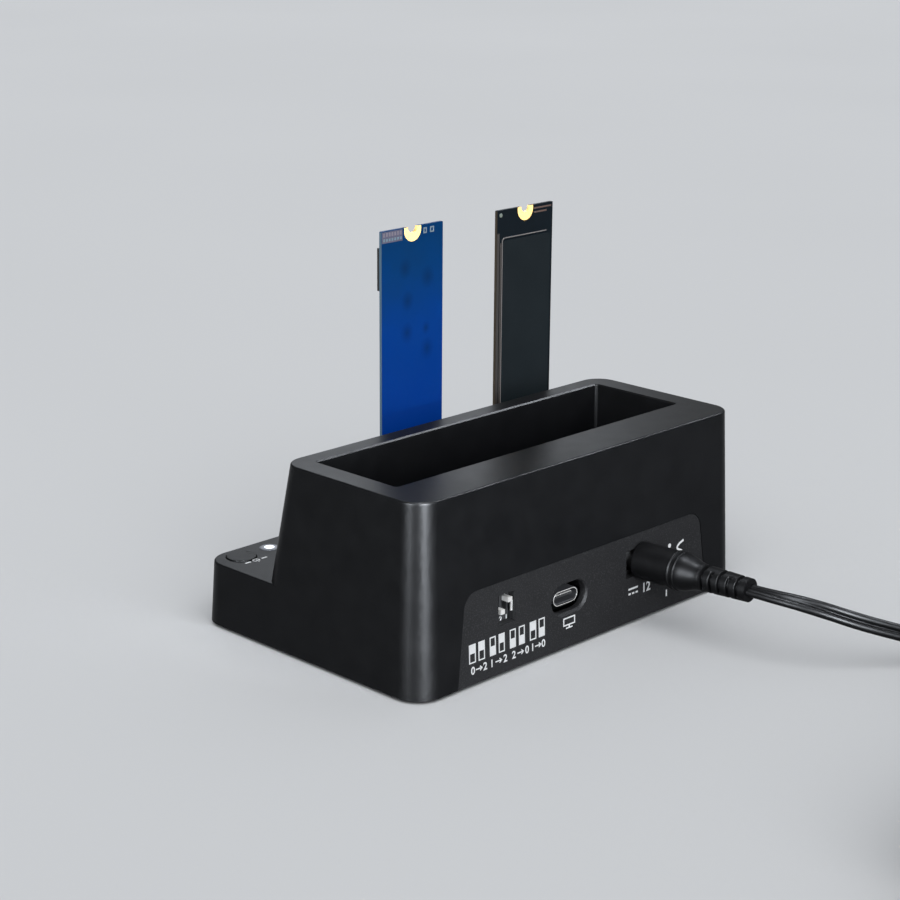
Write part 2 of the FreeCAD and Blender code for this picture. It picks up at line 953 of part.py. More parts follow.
# Buttons: a cap held under the deck by its flange, on the plunger of a low switch
switch_top = board_top + switch_height
flange_top = deck_underside - 0.3
flange_bottom = flange_top - button_flange_height
for name, x in buttons.items():
    cap = fused(
        [
            cylinder(x, button_y, flange_bottom, deck_z + button_proud, button_diameter / 2),
            cylinder(x, button_y, flange_bottom, flange_top, button_diameter / 2 + button_flange),
        ]
    )
    nodes[f"{name}_button"] = filleted_top(cap, deck_z + button_proud, 0.25)
    plunger_bottom = switch_top - button_travel - 0.3
    nodes[f"{name}_plunger"] = cylinder(
        x, button_y, plunger_bottom, flange_bottom, plunger_radius
    )
    switch = centred_box(x, button_y, switch_size, switch_size, board_top, switch_top)
    well = cylinder(
        x, button_y, plunger_bottom - button_travel - 0.2, switch_top + 1, plunger_radius + 0.1
    )
    nodes[f"{name}_switch"] = switch.cut(well)

# Lamps: a light pipe through the deck over a small lamp on the board
chip_top = board_top + lamp_chip_height


def light_pipe(x, radius):
    """Clear stepped pin that carries the light up through the deck."""
    return fused(
        [
            cylinder(x, lamp_y, chip_top, deck_z + lamp_proud, radius),
            cylinder(x, lamp_y, chip_top, deck_underside, radius + 0.6),
        ]
    )


nodes["power_light_pipe"] = light_pipe(lamp_x, lamp_diameter / 2)
nodes["progress_light_pipes"] = Part.makeCompound(
    [light_pipe(x, progress_lamp_diameter / 2) for x in progress_lamps]
)
nodes["lamp_chips"] = Part.makeCompound(
    [centred_box(x, lamp_y, 2.8, 2.2, board_top, chip_top) for x, _ in lamps]
)

# Mode switch: a body behind the window, and two sliders that move up and down in it
mode_low = board_top
mode_high = edge_z + mode_z + mode_window_height / 2 + mode_body_margin
mode_face_y = behind_panel(mode_high)
mode_body = box(
    mode_x - mode_body_width / 2,
    mode_x + mode_body_width / 2,
    mode_face_y - mode_body_depth,
    mode_face_y,
    mode_low,
    mode_high,
)
slider_mid = edge_z + mode_z + 0.5
slider_places = {1: slider_pitch / 2, 2: -slider_pitch / 2}
slider_ways = {1: 1, 2: -1}
slider_cuts = []
for number, across in slider_places.items():
    x = mode_x + slider_shift + across
    rest_z = slider_mid - slider_ways[number] * slider_travel / 2
    low_z = slider_mid - slider_travel / 2 - slider_height / 2
    high_z = slider_mid + slider_travel / 2 + slider_height / 2
    slider_cuts.append(
        box(
            x - slider_width / 2 - slider_gap / 2,
            x + slider_width / 2 + slider_gap / 2,
            mode_face_y - slider_depth - slider_gap,
            mode_face_y + 1,
            low_z - slider_gap,
            high_z + slider_gap,
        )
    )
    nodes[f"mode_slider_{number}"] = box(
        x - slider_width / 2,
        x + slider_width / 2,
        mode_face_y - slider_depth,
        mode_face_y + slider_proud,
        rest_z - slider_height / 2,
        rest_z + slider_height / 2,
    )
nodes["mode_switch"] = mode_body.cut(Part.makeCompound(slider_cuts))

# USB-C socket: a drawn steel shell on four legs, with a tongue inside
usb_front_y = usb_face_y - usb_setback
usb_back_y = usb_front_y - usb_shell_length
usb_centre_z = edge_z + usb_z
usb_shell = stadium_along_y(
    usb_x, usb_centre_z, usb_shell_width, usb_shell_height, usb_back_y, usb_front_y
)
usb_hollow = stadium_along_y(
    usb_x,
    usb_centre_z,
    usb_shell_width - 2 * usb_shell_wall,
    usb_shell_height - 2 * usb_shell_wall,
    usb_back_y + usb_shell_wall,
    usb_front_y + 1,
)
usb_legs = [
    box(
        usb_x + side * (usb_shell_width / 2 - usb_leg) - usb_leg / 2,
        usb_x + side * (usb_shell_width / 2 - usb_leg) + usb_leg / 2,
        y,
        y + 1.2,
        board_top,
        usb_centre_z - usb_shell_height / 2 + 0.1,
    )
    for side in (-1, 1)
    for y in (usb_back_y + 0.4, usb_front_y - 3.6)
]
nodes["usb_c_shell"] = fused([usb_shell.cut(usb_hollow)] + usb_legs)
nodes["usb_c_tongue"] = box(
    usb_x - usb_tongue_width / 2,
    usb_x + usb_tongue_width / 2,
    usb_back_y + usb_shell_wall,
    usb_front_y - usb_tongue_setback,
    usb_centre_z - usb_tongue_height / 2,
    usb_centre_z + usb_tongue_height / 2,
)

# Power jack: a moulded body with a bore and a steel centre pin
jack_centre_z = edge_z + jack_z
jack_face_y = behind_panel(jack_centre_z + jack_top_margin)
jack_body = box(
    jack_x - jack_width / 2,
    jack_x + jack_width / 2,
    jack_face_y - jack_length,
    jack_face_y,
    board_top,
    jack_centre_z + jack_top_margin,
)
jack_bore_floor = jack_face_y - jack_bore_depth
nodes["dc_jack"] = jack_body.cut(
    cylinder_along_y(jack_x, jack_centre_z, jack_bore_floor, jack_face_y + 1, jack_bore / 2)
)
nodes["dc_jack_pin"] = cylinder_along_y(
    jack_x,
    jack_centre_z,
    jack_bore_floor,
    jack_bore_floor + jack_pin_length,
    jack_pin_diameter / 2,
)

# Parts soldered to the board
nodes["controller_chips"] = Part.makeCompound(
    [
        centred_box(x, bay_front + back, size, size, board_top, board_top + controller_height)
        for x, back, size in controllers
    ]
)
inductor_y = bay_front - bay_wall - inductor_from_bay - inductor_size / 2
capacitor_y = case_depth / 2 - capacitor_from_rear
nodes["power_inductors"] = Part.makeCompound(
    [
        rounded_block(
            x - inductor_size / 2,
            x + inductor_size / 2,
            inductor_y - inductor_size / 2,
            inductor_y + inductor_size / 2,
            board_top,
            board_top + inductor_height,
            inductor_corner,
        )
        for x in inductor_places
    ]
)
nodes["capacitor_cans"] = Part.makeCompound(
    [
        cylinder(x, capacitor_y, board_top, board_top + capacitor_height, capacitor_radius)
        for x in capacitor_places
    ]
)
nodes["clock_crystal"] = rounded_block(
    crystal_x - crystal_length / 2,
    crystal_x + crystal_length / 2,
    bay_front + crystal_from_bay_front - crystal_width / 2,
    bay_front + crystal_from_bay_front + crystal_width / 2,
    board_top,
    board_top + crystal_height,
    crystal_corner,
)

# Power plug: its axis leans a little from the jack's
plug_axis = Vector(
    -math.sin(math.radians(plug_yaw)),
    math.cos(math.radians(plug_yaw)) * math.cos(math.radians(plug_lift)),
    math.sin(math.radians(plug_lift)),
).normalize()
grip_face_y = rear_wall_y(jack_centre_z) + plug_face_from_wall
pivot = Vector(
    jack_x + plug_shift_in_jack,
    (grip_face_y - barrel_length + jack_face_y) / 2,
    jack_centre_z + plug_rise_in_jack,
)
grip_start = pivot + plug_axis * (grip_face_y - pivot.y)
barrel_start = grip_start - plug_axis * barrel_length
barrel = turned(
    [(0, barrel_bore / 2), (0, barrel_diameter / 2), (barrel_length, barrel_diameter / 2),
     (barrel_length, barrel_bore / 2)],
    barrel_start,
    plug_axis,
)
nodes["plug_barrel"] = barrel
second_rib = grip_length + grip_rib_pitch
bell_start = second_rib + grip_rib_width + 3 * grip_rib_slope
bell_steps = 8
bell = []
for i in range(bell_steps + 1):
    share = i / bell_steps
    drop = (1 - math.cos(math.pi * share)) / 2
    radius = grip_radius + (bell_end_radius - grip_radius) * drop
    bell.append((bell_start + share * bell_length, radius))
grip_profile = [(0, 0), (0, grip_radius - 0.4), (0.4, grip_radius)]
for rib in (grip_length, second_rib):
    grip_profile.append((rib, grip_radius))
    grip_profile.append((rib + grip_rib_slope, grip_radius + grip_rib))
    grip_profile.append((rib + grip_rib_slope + grip_rib_width, grip_radius + grip_rib))
    grip_profile.append((rib + 2 * grip_rib_slope + grip_rib_width, grip_radius))
grip_profile += bell + [(bell_start + bell_length, 0)]
nodes["plug_grip"] = turned(grip_profile, grip_start, plug_axis)

relief_start = grip_start + plug_axis * (bell_start + bell_length)
relief_cone = turned(
    [(0, 0), (0, relief_radius), (relief_length, relief_tip_radius), (relief_length, 0)],
    relief_start,
    plug_axis,
)


def relief_slit_cut(number):
    """Part ring cut round the core: slits open upwards and downwards by turns."""
    start = relief_first_slit + number * relief_pitch
    middle = relief_slit_middles[number % 2]
    outer = Part.makeCylinder(
        2 * relief_radius, relief_slit, Vector(), Vector(0, 0, 1), relief_slit_angle
    )
    ring = outer.cut(Part.makeCylinder(relief_core_radius, relief_slit))
    ring.rotate(Vector(), Vector(0, 0, 1), middle - relief_slit_angle / 2)
    place = Placement(relief_start + plug_axis * start, Rotation(Vector(0, 0, 1), plug_axis))
    ring.Placement = place.multiply(ring.Placement)
    return ring


nodes["plug_strain_relief"] = relief_cone.cut(
    Part.makeCompound([relief_slit_cut(i) for i in range(relief_slits)])
)
relief_tip = relief_start + plug_axis * relief_length
print("strain relief tip", [round(v, 2) for v in relief_tip])
lead_start = relief_tip + plug_axis * lead_start_gap

# Power lead: straight runs joined by arcs as large as the runs allow


def lead_tube(name, route):
    """Tube along a route, with its radii and its volume printed."""
    points = [Vector(*p) for p in route]
    edges = []
    radii = []
    here = points[0]
    for before, corner, after in zip(points, points[1:], points[2:]):
        back = (before - corner).normalize()
        on = (after - corner).normalize()
        shorter = min((before - corner).Length, (after - corner).Length)
        reach = 0.45 * shorter
        half_turn = (math.pi - back.getAngle(on)) / 2
        radius = reach / math.tan(half_turn)
        radii.append(round(radius, 1))
        bisector = (back + on).normalize()
        middle = corner + bisector * (radius / math.cos(half_turn) - radius)
        edges.append(Part.LineSegment(here, corner + back * reach).toShape())
        edges.append(Part.Arc(corner + back * reach, middle, corner + on * reach).toShape())
        here = corner + on * reach
    edges.append(Part.LineSegment(here, points[-1]).toShape())
    path = Part.Wire(edges)
    section = Part.Wire(
        [Part.makeCircle(lead_width / 2, points[0], (points[1] - points[0]).normalize())]
    )
    tube = path.makePipeShell([section], True, False)
    expected = math.pi * (lead_width / 2) ** 2 * path.Length
    print(name, "length", round(path.Length, 1), "radii", radii, end=" ")
    print("volume", round(tube.Volume, 1), "expected", round(expected, 1))
    return tube


nodes["power_lead"] = lead_tube("lead", [tuple(lead_start)] + lead_route)
nodes["power_lead_tail"] = lead_tube("tail", tail_route)
coil_ring = cylinder(coil_x, coil_y, 0, coil_height, coil_outer_radius).cut(
    cylinder(coil_x, coil_y, -1, coil_height + 1, coil_inner_radius)
)
nodes["power_lead_coil"] = coil_ring

# Wall adapter: a welded box with two blades, and the lead's strain relief at one end
lead_end = Vector(*tail_route[-1])
lead_end_way = (lead_end - Vector(*tail_route[-2])).normalize()
adapter_start = lead_end.x + adapter_relief_length - lead_start_gap
adapter = rounded_block(
    adapter_start,
    adapter_start + adapter_length,
    lead_end.y - adapter_width / 2,
    lead_end.y + adapter_width / 2,
    0,
    adapter_height,
    adapter_corner,
)
rims = [
    e
    for e in adapter.Edges
    if all(v.Z < 0.001 for v in e.Vertexes) or all(v.Z > adapter_height - 0.001 for v in e.Vertexes)
]
nodes["adapter_case"] = adapter.makeFillet(1.5, rims)
nodes["adapter_strain_relief"] = turned(
    [(0, 0), (0, adapter_relief_radius - 0.8), (adapter_relief_length, adapter_relief_radius),
     (adapter_relief_length, 0)],
    lead_end + lead_end_way * lead_start_gap,
    lead_end_way,
).cut(box(adapter_start, adapter_start + 5, lead_end.y - 9, lead_end.y + 9, 0, adapter_height))
adapter_end = adapter_start + adapter_length


def blade(y):
    """Flat blade with a round hole near its end."""
    bar = box(
        adapter_end,
        adapter_end + blade_length,
        y - blade_thickness / 2,
        y + blade_thickness / 2,
        adapter_height / 2 - blade_width / 2,
        adapter_height / 2 + blade_width / 2,
    )
    hole_x = adapter_end + blade_length - blade_hole_from_end
    return bar.cut(
        cylinder_along_y(hole_x, adapter_height / 2, y - 2, y + 2, blade_hole / 2)
    )


nodes["adapter_blades"] = Part.makeCompound(
    [blade(lead_end.y + side * blade_spacing / 2) for side in (-1, 1)]
)

for name, shape in nodes.items():
    shape.exportStep(f"parts/{name}.step")
    bounds = shape.BoundBox
    print(name, len(shape.Solids), shape.isValid(), round(shape.Volume, 1), end=" ")
    print([round(v, 2) for v in (bounds.XMin, bounds.XMax, bounds.YMin, bounds.YMax)], end=" ")
    print([round(v, 2) for v in (bounds.ZMin, bounds.ZMax)])
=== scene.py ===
import json

import bmesh
import bpy
import numpy as np
from mathutils import Matrix, Vector

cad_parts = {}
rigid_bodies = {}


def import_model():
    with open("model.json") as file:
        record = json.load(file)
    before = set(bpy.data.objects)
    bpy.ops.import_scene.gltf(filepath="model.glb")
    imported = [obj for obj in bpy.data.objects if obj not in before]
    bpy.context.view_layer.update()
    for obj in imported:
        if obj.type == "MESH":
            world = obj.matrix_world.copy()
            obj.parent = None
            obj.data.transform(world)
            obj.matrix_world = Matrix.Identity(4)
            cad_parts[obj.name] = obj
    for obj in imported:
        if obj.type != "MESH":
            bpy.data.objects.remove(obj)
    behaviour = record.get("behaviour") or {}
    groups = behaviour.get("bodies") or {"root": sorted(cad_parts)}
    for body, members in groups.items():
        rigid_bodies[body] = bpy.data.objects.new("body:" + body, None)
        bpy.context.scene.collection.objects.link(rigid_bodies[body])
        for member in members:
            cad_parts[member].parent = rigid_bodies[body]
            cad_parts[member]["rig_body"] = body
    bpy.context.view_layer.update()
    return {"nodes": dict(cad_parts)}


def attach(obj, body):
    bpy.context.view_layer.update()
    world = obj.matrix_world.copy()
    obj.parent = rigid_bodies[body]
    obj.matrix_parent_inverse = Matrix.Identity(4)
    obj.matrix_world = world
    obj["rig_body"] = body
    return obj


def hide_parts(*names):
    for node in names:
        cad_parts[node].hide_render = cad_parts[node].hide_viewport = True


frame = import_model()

scene = bpy.context.scene

# Camera. It stands behind and to one side of the dock, a little above the tower, with a
# long lens, as the photograph was taken.
camera_data = bpy.data.cameras.new("camera")
camera_data.lens = 84.33
camera_data.sensor_width = 36.0
camera_data.clip_start = 0.01
camera_data.clip_end = 50.0
camera = bpy.data.objects.new("camera", camera_data)
scene.collection.objects.link(camera)
view_right = Vector((-0.700258, 0.713859, 0.006642))
view_up = Vector((-0.202021, -0.207078, 0.957239))
view_back = Vector((0.684709, 0.668972, 0.289223))
turn = Matrix((view_right, view_up, view_back)).transposed().to_4x4()
camera_place = Vector((0.37596, 0.35757, 0.19810))
camera.matrix_world = Matrix.Translation(camera_place) @ turn
scene.camera = camera
scene.view_settings.view_transform = "Standard"

# Studio. A wide floor of pale paper lies under an even pale sky and one soft sun. Six soft
# lamps stand round it that show in reflections alone, and give the black plastic its sheen.


class Signal:
    """A value or colour in a finish's nodes, so that shader maths reads as Python."""

    def __init__(self, finish, socket):
        self.finish = finish
        self.socket = socket

    def maths(self, operation, *others):
        values = dict(enumerate((self, *others)))
        return self.finish.node("ShaderNodeMath", {"operation": operation}, values)

    def __add__(self, other):
        return self.maths("ADD", other)

    def __sub__(self, other):
        return self.maths("SUBTRACT", other)

    def __rsub__(self, other):
        return self.maths("MULTIPLY_ADD", -1.0, other)

    def __mul__(self, other):
        return self.maths("MULTIPLY", other)

    def __truediv__(self, other):
        return self.maths("DIVIDE", other)

    def __rtruediv__(self, other):
        return self.maths("POWER", -1.0) * other

    def __gt__(self, other):
        return self.maths("GREATER_THAN", other)

    def __lt__(self, other):
        return self.maths("LESS_THAN", other)

    def __abs__(self):
        return self.maths("ABSOLUTE")

    __radd__ = __add__
    __rmul__ = __mul__


class Finish:
    """One material: its Principled shader, with uniform values set on the shader's sockets."""

    def __init__(self, name, **uniform):
        self.material = bpy.data.materials.new(name)
        self.material.use_nodes = True
        self.tree = self.material.node_tree
        self.shader = self.tree.nodes["Principled BSDF"]
        for socket, value in uniform.items():
            self.shader.inputs[socket.replace("_", " ")].default_value = value
        self.place = self.node("ShaderNodeTexCoord", output="Object")

    def node(self, kind, settings=None, values=None, output=0):
        """Any node: its settings first, then the values or links of its sockets."""
        node = self.tree.nodes.new(kind)
        for key, value in (settings or {}).items():
            if key == "stops":
                ramp = node.color_ramp.elements
                while len(ramp) < len(value):
                    ramp.new(0.5)
                for stop, (position, colour) in zip(ramp, value):
                    stop.position = position
                    stop.color = (*colour, 1.0)
            else:
                setattr(node, key, value)
        for key, value in (values or {}).items():
            if isinstance(value, Signal):
                self.tree.links.new(value.socket, node.inputs[key])
            else:
                node.inputs[key].default_value = value
        return Signal(self, node.outputs[output])

    def vary(self, socket, signal):
        """Feeds one of the shader's sockets from a signal."""
        self.tree.links.new(signal.socket, self.shader.inputs[socket])

    def noise(self, size, detail=2.0, place=None):
        """Smooth random value whose features have the given size in metres."""
        values = {"Vector": place or self.place, "Scale": 1.0 / size, "Detail": detail}
        return self.node("ShaderNodeTexNoise", {}, values)

    def blend(self, share, low, high):
        """Colour between two, by a share from 0 to 1."""
        values = {0: share}
        for socket, colour in ((6, low), (7, high)):
            values[socket] = colour if isinstance(colour, Signal) else (*colour, 1.0)
        return self.node("ShaderNodeMix", {"data_type": "RGBA"}, values, output=2)

    def relief(self, height, depth):
        """Bump of a height signal, whose full depth is in metres, fed to the Normal."""
        values = {"Height": height, "Distance": depth}
        self.vary("Normal", self.node("ShaderNodeBump", {}, values))


floor_radii = np.array((0.5, 1.5, 4.0, 12.0))
floor_turn = np.linspace(0.0, 2.0 * np.pi, 96, endpoint=False)
floor_grid = np.stack(
    (
        floor_radii[:, None] * np.cos(floor_turn),
        floor_radii[:, None] * np.sin(floor_turn),
        np.zeros((len(floor_radii), len(floor_turn))),
    ),
    axis=2,
)


def grid_faces(rows, columns, wrap_rows=False, wrap_columns=True):
    """Quads between neighbouring points of a grid, wrapped round in either direction."""
    i = np.arange(rows if wrap_rows else rows - 1)[:, None]
    j = np.arange(columns if wrap_columns else columns - 1)[None, :]
    i2, j2 = (i + 1) % rows, (j + 1) % columns
    corners = (i * columns + j, i2 * columns + j, i2 * columns + j2, i * columns + j2)
    return np.stack(np.broadcast_arrays(*corners), axis=2).reshape(-1, 4).tolist()


def piece(name, points, faces, material, angle=35.0, closed=True):
    """Object at the origin from points and faces, with doubles merged, faces outward, and
    edges sharper than an angle kept crisp."""
    mesh = bpy.data.meshes.new(name)
    mesh.from_pydata(np.asarray(points, float).reshape(-1, 3).tolist(), [], faces)
    tidy = bmesh.new()
    tidy.from_mesh(mesh)
    bmesh.ops.remove_doubles(tidy, verts=tidy.verts, dist=1e-7)
    if closed:
        bmesh.ops.recalc_face_normals(tidy, faces=tidy.faces)
    tidy.to_mesh(mesh)
    tidy.free()
    mesh.polygons.foreach_set("use_smooth", np.ones(len(mesh.polygons), bool))
    mesh.set_sharp_from_angle(angle=np.radians(angle))
    mesh.materials.append(material)
    made = bpy.data.objects.new(name, mesh)
    scene.collection.objects.link(made)
    return made


floor_finish = Finish("studio_paper", Roughness=0.9, Specular_IOR_Level=0.0)
paper = floor_finish.noise(0.4)
floor_finish.vary(
    "Base Color", floor_finish.blend(paper, (0.60, 0.61, 0.625), (0.64, 0.65, 0.665))
)
floor = piece(
    "studio_floor",
    floor_grid,
    grid_faces(len(floor_radii), len(floor_turn)) + [list(range(len(floor_turn)))],
    floor_finish.material,
    closed=False,
)

world = bpy.data.worlds.new("studio")
scene.world = world
world.use_nodes = True
backdrop = world.node_tree.nodes["Background"]
backdrop.inputs["Color"].default_value = (0.94, 0.97, 1.0, 1.0)
backdrop.inputs["Strength"].default_value = 0.5

sky_data = bpy.data.lights.new("lamp_sky", "SUN")
sky_data.angle = np.radians(70.0)
sky_data.energy = 2.0
sky = bpy.data.objects.new("lamp_sky", sky_data)
sky.rotation_euler = Vector((0.45, 0.70, 1.0)).to_track_quat("Z", "Y").to_euler()
scene.collection.objects.link(sky)


def soft_lamp(name, place, aim, width, height, watts, shadow=True):
    """Rectangular soft lamp for the sheen: turned towards a point, it is seen in reflections
    only, so it gives the black plastic its highlights and lights nothing else."""
    data = bpy.data.lights.new(name, "AREA")
    data.shape = "RECTANGLE"
    data.size, data.size_y = width, height
    data.energy = watts
    data.color = (0.88, 0.93, 1.0)
    lamp = bpy.data.objects.new(name, data)
    lamp.location = place
    lamp.rotation_euler = (Vector(aim) - Vector(place)).to_track_quat("-Z", "Y").to_euler()
    lamp.visible_camera = False
    lamp.visible_diffuse = False
    data.use_shadow = shadow
    scene.collection.objects.link(lamp)


corner = (0.055, 0.034, 0.03)
soft_lamp("lamp_beyond", (-0.36, -0.42, 0.27), (0.0, 0.0, 0.04), 0.26, 0.16, 0.50, shadow=False)
soft_lamp("lamp_edges", (-0.42, 0.18, 0.45), (0.0, 0.02, 0.05), 0.15, 0.15, 10.0)
soft_lamp("lamp_rear", (-0.20, 0.825, 0.23), (0.0, 0.035, 0.03), 0.44, 0.52, 7.2)
soft_lamp("strip_left", (0.607, 0.092, 0.142), corner, 0.08, 0.42, 66.0)
soft_lamp("strip_right", (0.308, 0.751, 0.184), corner, 0.22, 0.57, 370.0)
soft_lamp("lamp_over", (-0.08, -0.03, 0.55), (-0.02, 0.06, 0.02), 0.09, 0.09, 16.0)

# Power lead. Flat black twin lead of soft PVC, 4.1 mm wide and 1.2 m long. It leaves the plug
# nearly flat, twists on to its edge, runs down to the desk, and is put away in a neat coil
# of two layers before the wall adapter.
lead_route = [
    (-0.02133, 0.07241, 0.01671),
    (-0.02160, 0.07880, 0.01680),
    (-0.02300, 0.08550, 0.01660),
    (-0.02610, 0.09180, 0.01530),
    (-0.03080, 0.09720, 0.01300),
    (-0.03660, 0.10190, 0.01060),
    (-0.04340, 0.10660, 0.00800),
    (-0.05060, 0.11200, 0.00520),
    (-0.05800, 0.11760, 0.00300),
    (-0.06560, 0.12360, 0.00225),
]
tail_route = [
    (-0.06830, 0.16360, 0.00640),
    (-0.06120, 0.17070, 0.00600),
    (-0.05340, 0.17800, 0.00490),
    (-0.04420, 0.18430, 0.00560),
    (-0.03440, 0.18820, 0.00740),
    (-0.02400, 0.18920, 0.00800),
]
coil_centre = np.array((-0.04945, 0.14475))
coil_radius = 0.0266
coil_pitch = 0.00215
coil_start = np.radians(232.6)
coil_turns = 7.271
coil_steps = 24
crossing_share = 0.12
inner_ring = 3.0
turn_back = 3.6
outward_from = 3.27
climb_start, climb_end = 3.4, 3.8
lower_layer = 0.00235
layer_rise = 0.00405
turns = np.arange(1, int(coil_turns * coil_steps)) / coil_steps


def unit(vectors):
    """Vectors divided by their lengths."""
    return vectors / np.linalg.norm(vectors, axis=-1, keepdims=True)


def smooth_share(value, start, end):
    """0 before start, 1 after end, and a smooth rise between them."""
    share = np.clip((value - start) / (end - start), 0.0, 1.0)
    return share * share * (3.0 - 2.0 * share)


def step_count(turn):
    """Whole steps taken, each made smoothly over the last part of a turn."""
    return np.floor(turn) + smooth_share(turn % 1.0, 1.0 - crossing_share, 1.0)


inward = np.minimum(step_count(turns), inner_ring)
outward = np.clip(inner_ring - step_count(turns - outward_from), 0.0, inner_ring)
ring = np.where(turns < turn_back, inward, outward)
coil_angle = coil_start - 2.0 * np.pi * turns
coil_reach = (coil_radius - coil_pitch * ring) / np.cos(np.pi / coil_steps)
coil_route = np.stack(
    (
        coil_centre[0] + coil_reach * np.cos(coil_angle),
        coil_centre[1] + coil_reach * np.sin(coil_angle),
        lower_layer + layer_rise * smooth_share(turns, climb_start, climb_end),
    ),
    axis=1,
)
route = np.concatenate((lead_route, coil_route, tail_route))
lead_curve = bpy.data.curves.new("power_lead_route", "CURVE")
lead_curve.dimensions = "3D"
lead_curve.resolution_u = 8
spline = lead_curve.splines.new("NURBS")
spline.points.add(len(route) - 1)
spline.points.foreach_set("co", np.column_stack((route, np.ones(len(route)))).ravel())
spline.order_u = 3
spline.use_endpoint_u = True
route_object = bpy.data.objects.new("power_lead_route", lead_curve)
scene.collection.objects.link(route_object)
bpy.context.view_layer.update()
route_mesh = bpy.data.meshes.new_from_object(route_object)
line = np.zeros(len(route_mesh.vertices) * 3)
route_mesh.vertices.foreach_get("co", line)
line = line.reshape(-1, 3)
bpy.data.objects.remove(route_object)
bpy.data.meshes.remove(route_mesh)

strand_radius = 0.00100
strand_offset = 0.00105
web_angle = np.radians(159.0)
level_roll = 166.0
plug_twist, plug_twist_end = 53.0, 0.030
desk_twist, desk_twist_start, desk_twist_end = 23.0, 0.035, 0.075


def lead_skin(line):
    """Figure-of-eight section, two round strands joined by a web, swept along the line. The
    section's width turns about the line from nearly level to upright."""
    run = np.concatenate(([0.0], np.cumsum(np.linalg.norm(np.diff(line, axis=0), axis=1))))
    forward = unit(np.gradient(line, axis=0))
    side = unit(np.cross(forward, (0.0, 0.0, 1.0)))
    up = np.cross(side, forward)
    roll = level_roll - plug_twist * smooth_share(run, 0.0, plug_twist_end)
    roll = roll - desk_twist * smooth_share(run, desk_twist_start, desk_twist_end)
    roll = np.radians(roll)[:, None]
    across = side * np.cos(roll) + up * np.sin(roll)
    through = np.cross(across, forward)
    lobe = np.linspace(-web_angle, web_angle, 15)
    reach = strand_offset + strand_radius * np.cos(lobe)
    right = np.stack((reach, strand_radius * np.sin(lobe)), axis=1)
    section = np.concatenate((right, -right))
    return (
        line[:, None, :]
        + across[:, None, :] * section[None, :, :1]
        + through[:, None, :] * section[None, :, 1:]
    )


def soft_pvc(name, patch, grain, depth, swing, gloss, specular, light=(0.005, 0.005, 0.0056)):
    """Soft black PVC: slow changes of shade and gloss in patches, and a fine grain."""
    finish = Finish(name, Specular_IOR_Level=specular)
    slow = finish.noise(patch, 3.0)
    fine = finish.noise(grain)
    finish.vary("Base Color", finish.blend(slow, (0.003, 0.003, 0.0034), light))
    finish.vary("Roughness", slow * swing + gloss)
    finish.relief(fine, depth)
    return finish.material


def capped(name, rings, material, angle=35.0):
    """Closed piece from rings of points in a row, with a flat face over each end."""
    rows, columns = rings.shape[:2]
    caps = [list(range(columns)), [(rows - 1) * columns + k for k in range(columns)]]
    return piece(name, rings, grid_faces(rows, columns) + caps, material, angle)


lead_pvc = soft_pvc("lead_pvc", 0.009, 0.0004, 0.000012, 0.16, 0.34, 0.03)
lead = capped("power_lead_flat", lead_skin(line), lead_pvc, 60.0)
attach(lead, "dock")
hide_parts("power_lead", "power_lead_coil", "power_lead_tail")

# Tie. A flat twist tie of paper-covered wire, wound round the coil's turns on its far side
# to hold them together.
tie_angle = np.radians(20.0)
tie_out = np.array((np.cos(tie_angle), np.sin(tie_angle), 0.0))
tie_along = np.array((-np.sin(tie_angle), np.cos(tie_angle), 0.0))
tie_height = 0.00435
tie_middle = np.array((*coil_centre, tie_height)) + tie_out * (coil_radius - 1.5 * coil_pitch)
tie_half = np.array((0.00455, 0.00415))
tie_width = 0.0024
tie_thickness = 0.00012
tie_mean_half = 0.004
tie_steps = 64
tie_turn = np.linspace(0.0, 2.0 * np.pi, tie_steps, endpoint=False)


def rounded_loop(half, turn, power):
    """Superellipse: a loop between a circle and a rectangle with the given half sizes."""
    cosine, sine = np.cos(turn), np.sin(turn)
    x = half[0] * np.sign(cosine) * np.abs(cosine) ** power
    y = half[1] * np.sign(sine) * np.abs(sine) ** power
    return x, y


tie_x, tie_z = rounded_loop(tie_half, tie_turn, 0.35)
tie_rings = []
for swell, edge in ((0.0, -0.5), (tie_thickness, -0.5), (tie_thickness, 0.5), (0.0, 0.5)):
    grow = 1.0 + swell / tie_mean_half
    tie_rings.append(
        tie_middle
        + tie_out * (tie_x * grow)[:, None]
        + np.array((0.0, 0.0, 1.0)) * (tie_z * grow)[:, None]
        + tie_along * edge * tie_width
    )


def moulded(name, colour, roughness, grain=0.0003, depth=0.00001, mottle=0.12, **uniform):
    """Moulded plastic: a fine spark-eroded grain, and slow changes of shade and gloss."""
    finish = Finish(name, **{"Specular_IOR_Level": 0.05, **uniform})
    slow = finish.noise(0.006, 3.0)
    fine = finish.noise(grain)
    shade = slow * 0.5 + fine * 0.5
    dark = [c * (1.0 - mottle) for c in colour]
    light = [c * (1.0 + mottle) for c in colour]
    finish.vary("Base Color", finish.blend(shade, dark, light))
    finish.vary("Roughness", slow * 0.10 + (roughness - 0.05))
    finish.relief(fine, depth)
    return finish.material


tie_finish = moulded("tie_paper", (0.016, 0.016, 0.017), 0.5, grain=0.0005)
tie_faces = grid_faces(len(tie_rings), tie_steps, wrap_rows=True)
tie = piece("coil_tie", np.array(tie_rings), tie_faces, tie_finish, 40.0)
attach(tie, "dock")

# Power plug. A plated 5.5 mm barrel in a black moulded grip, with two raised rings, a bell
# that narrows to the neck, and a strain relief cut into rings over a thinner core.
plug_way = unit(np.array((-0.04536, 0.99896, 0.00523)))
plug_start = np.array((-0.01983, 0.03925, 0.01653))


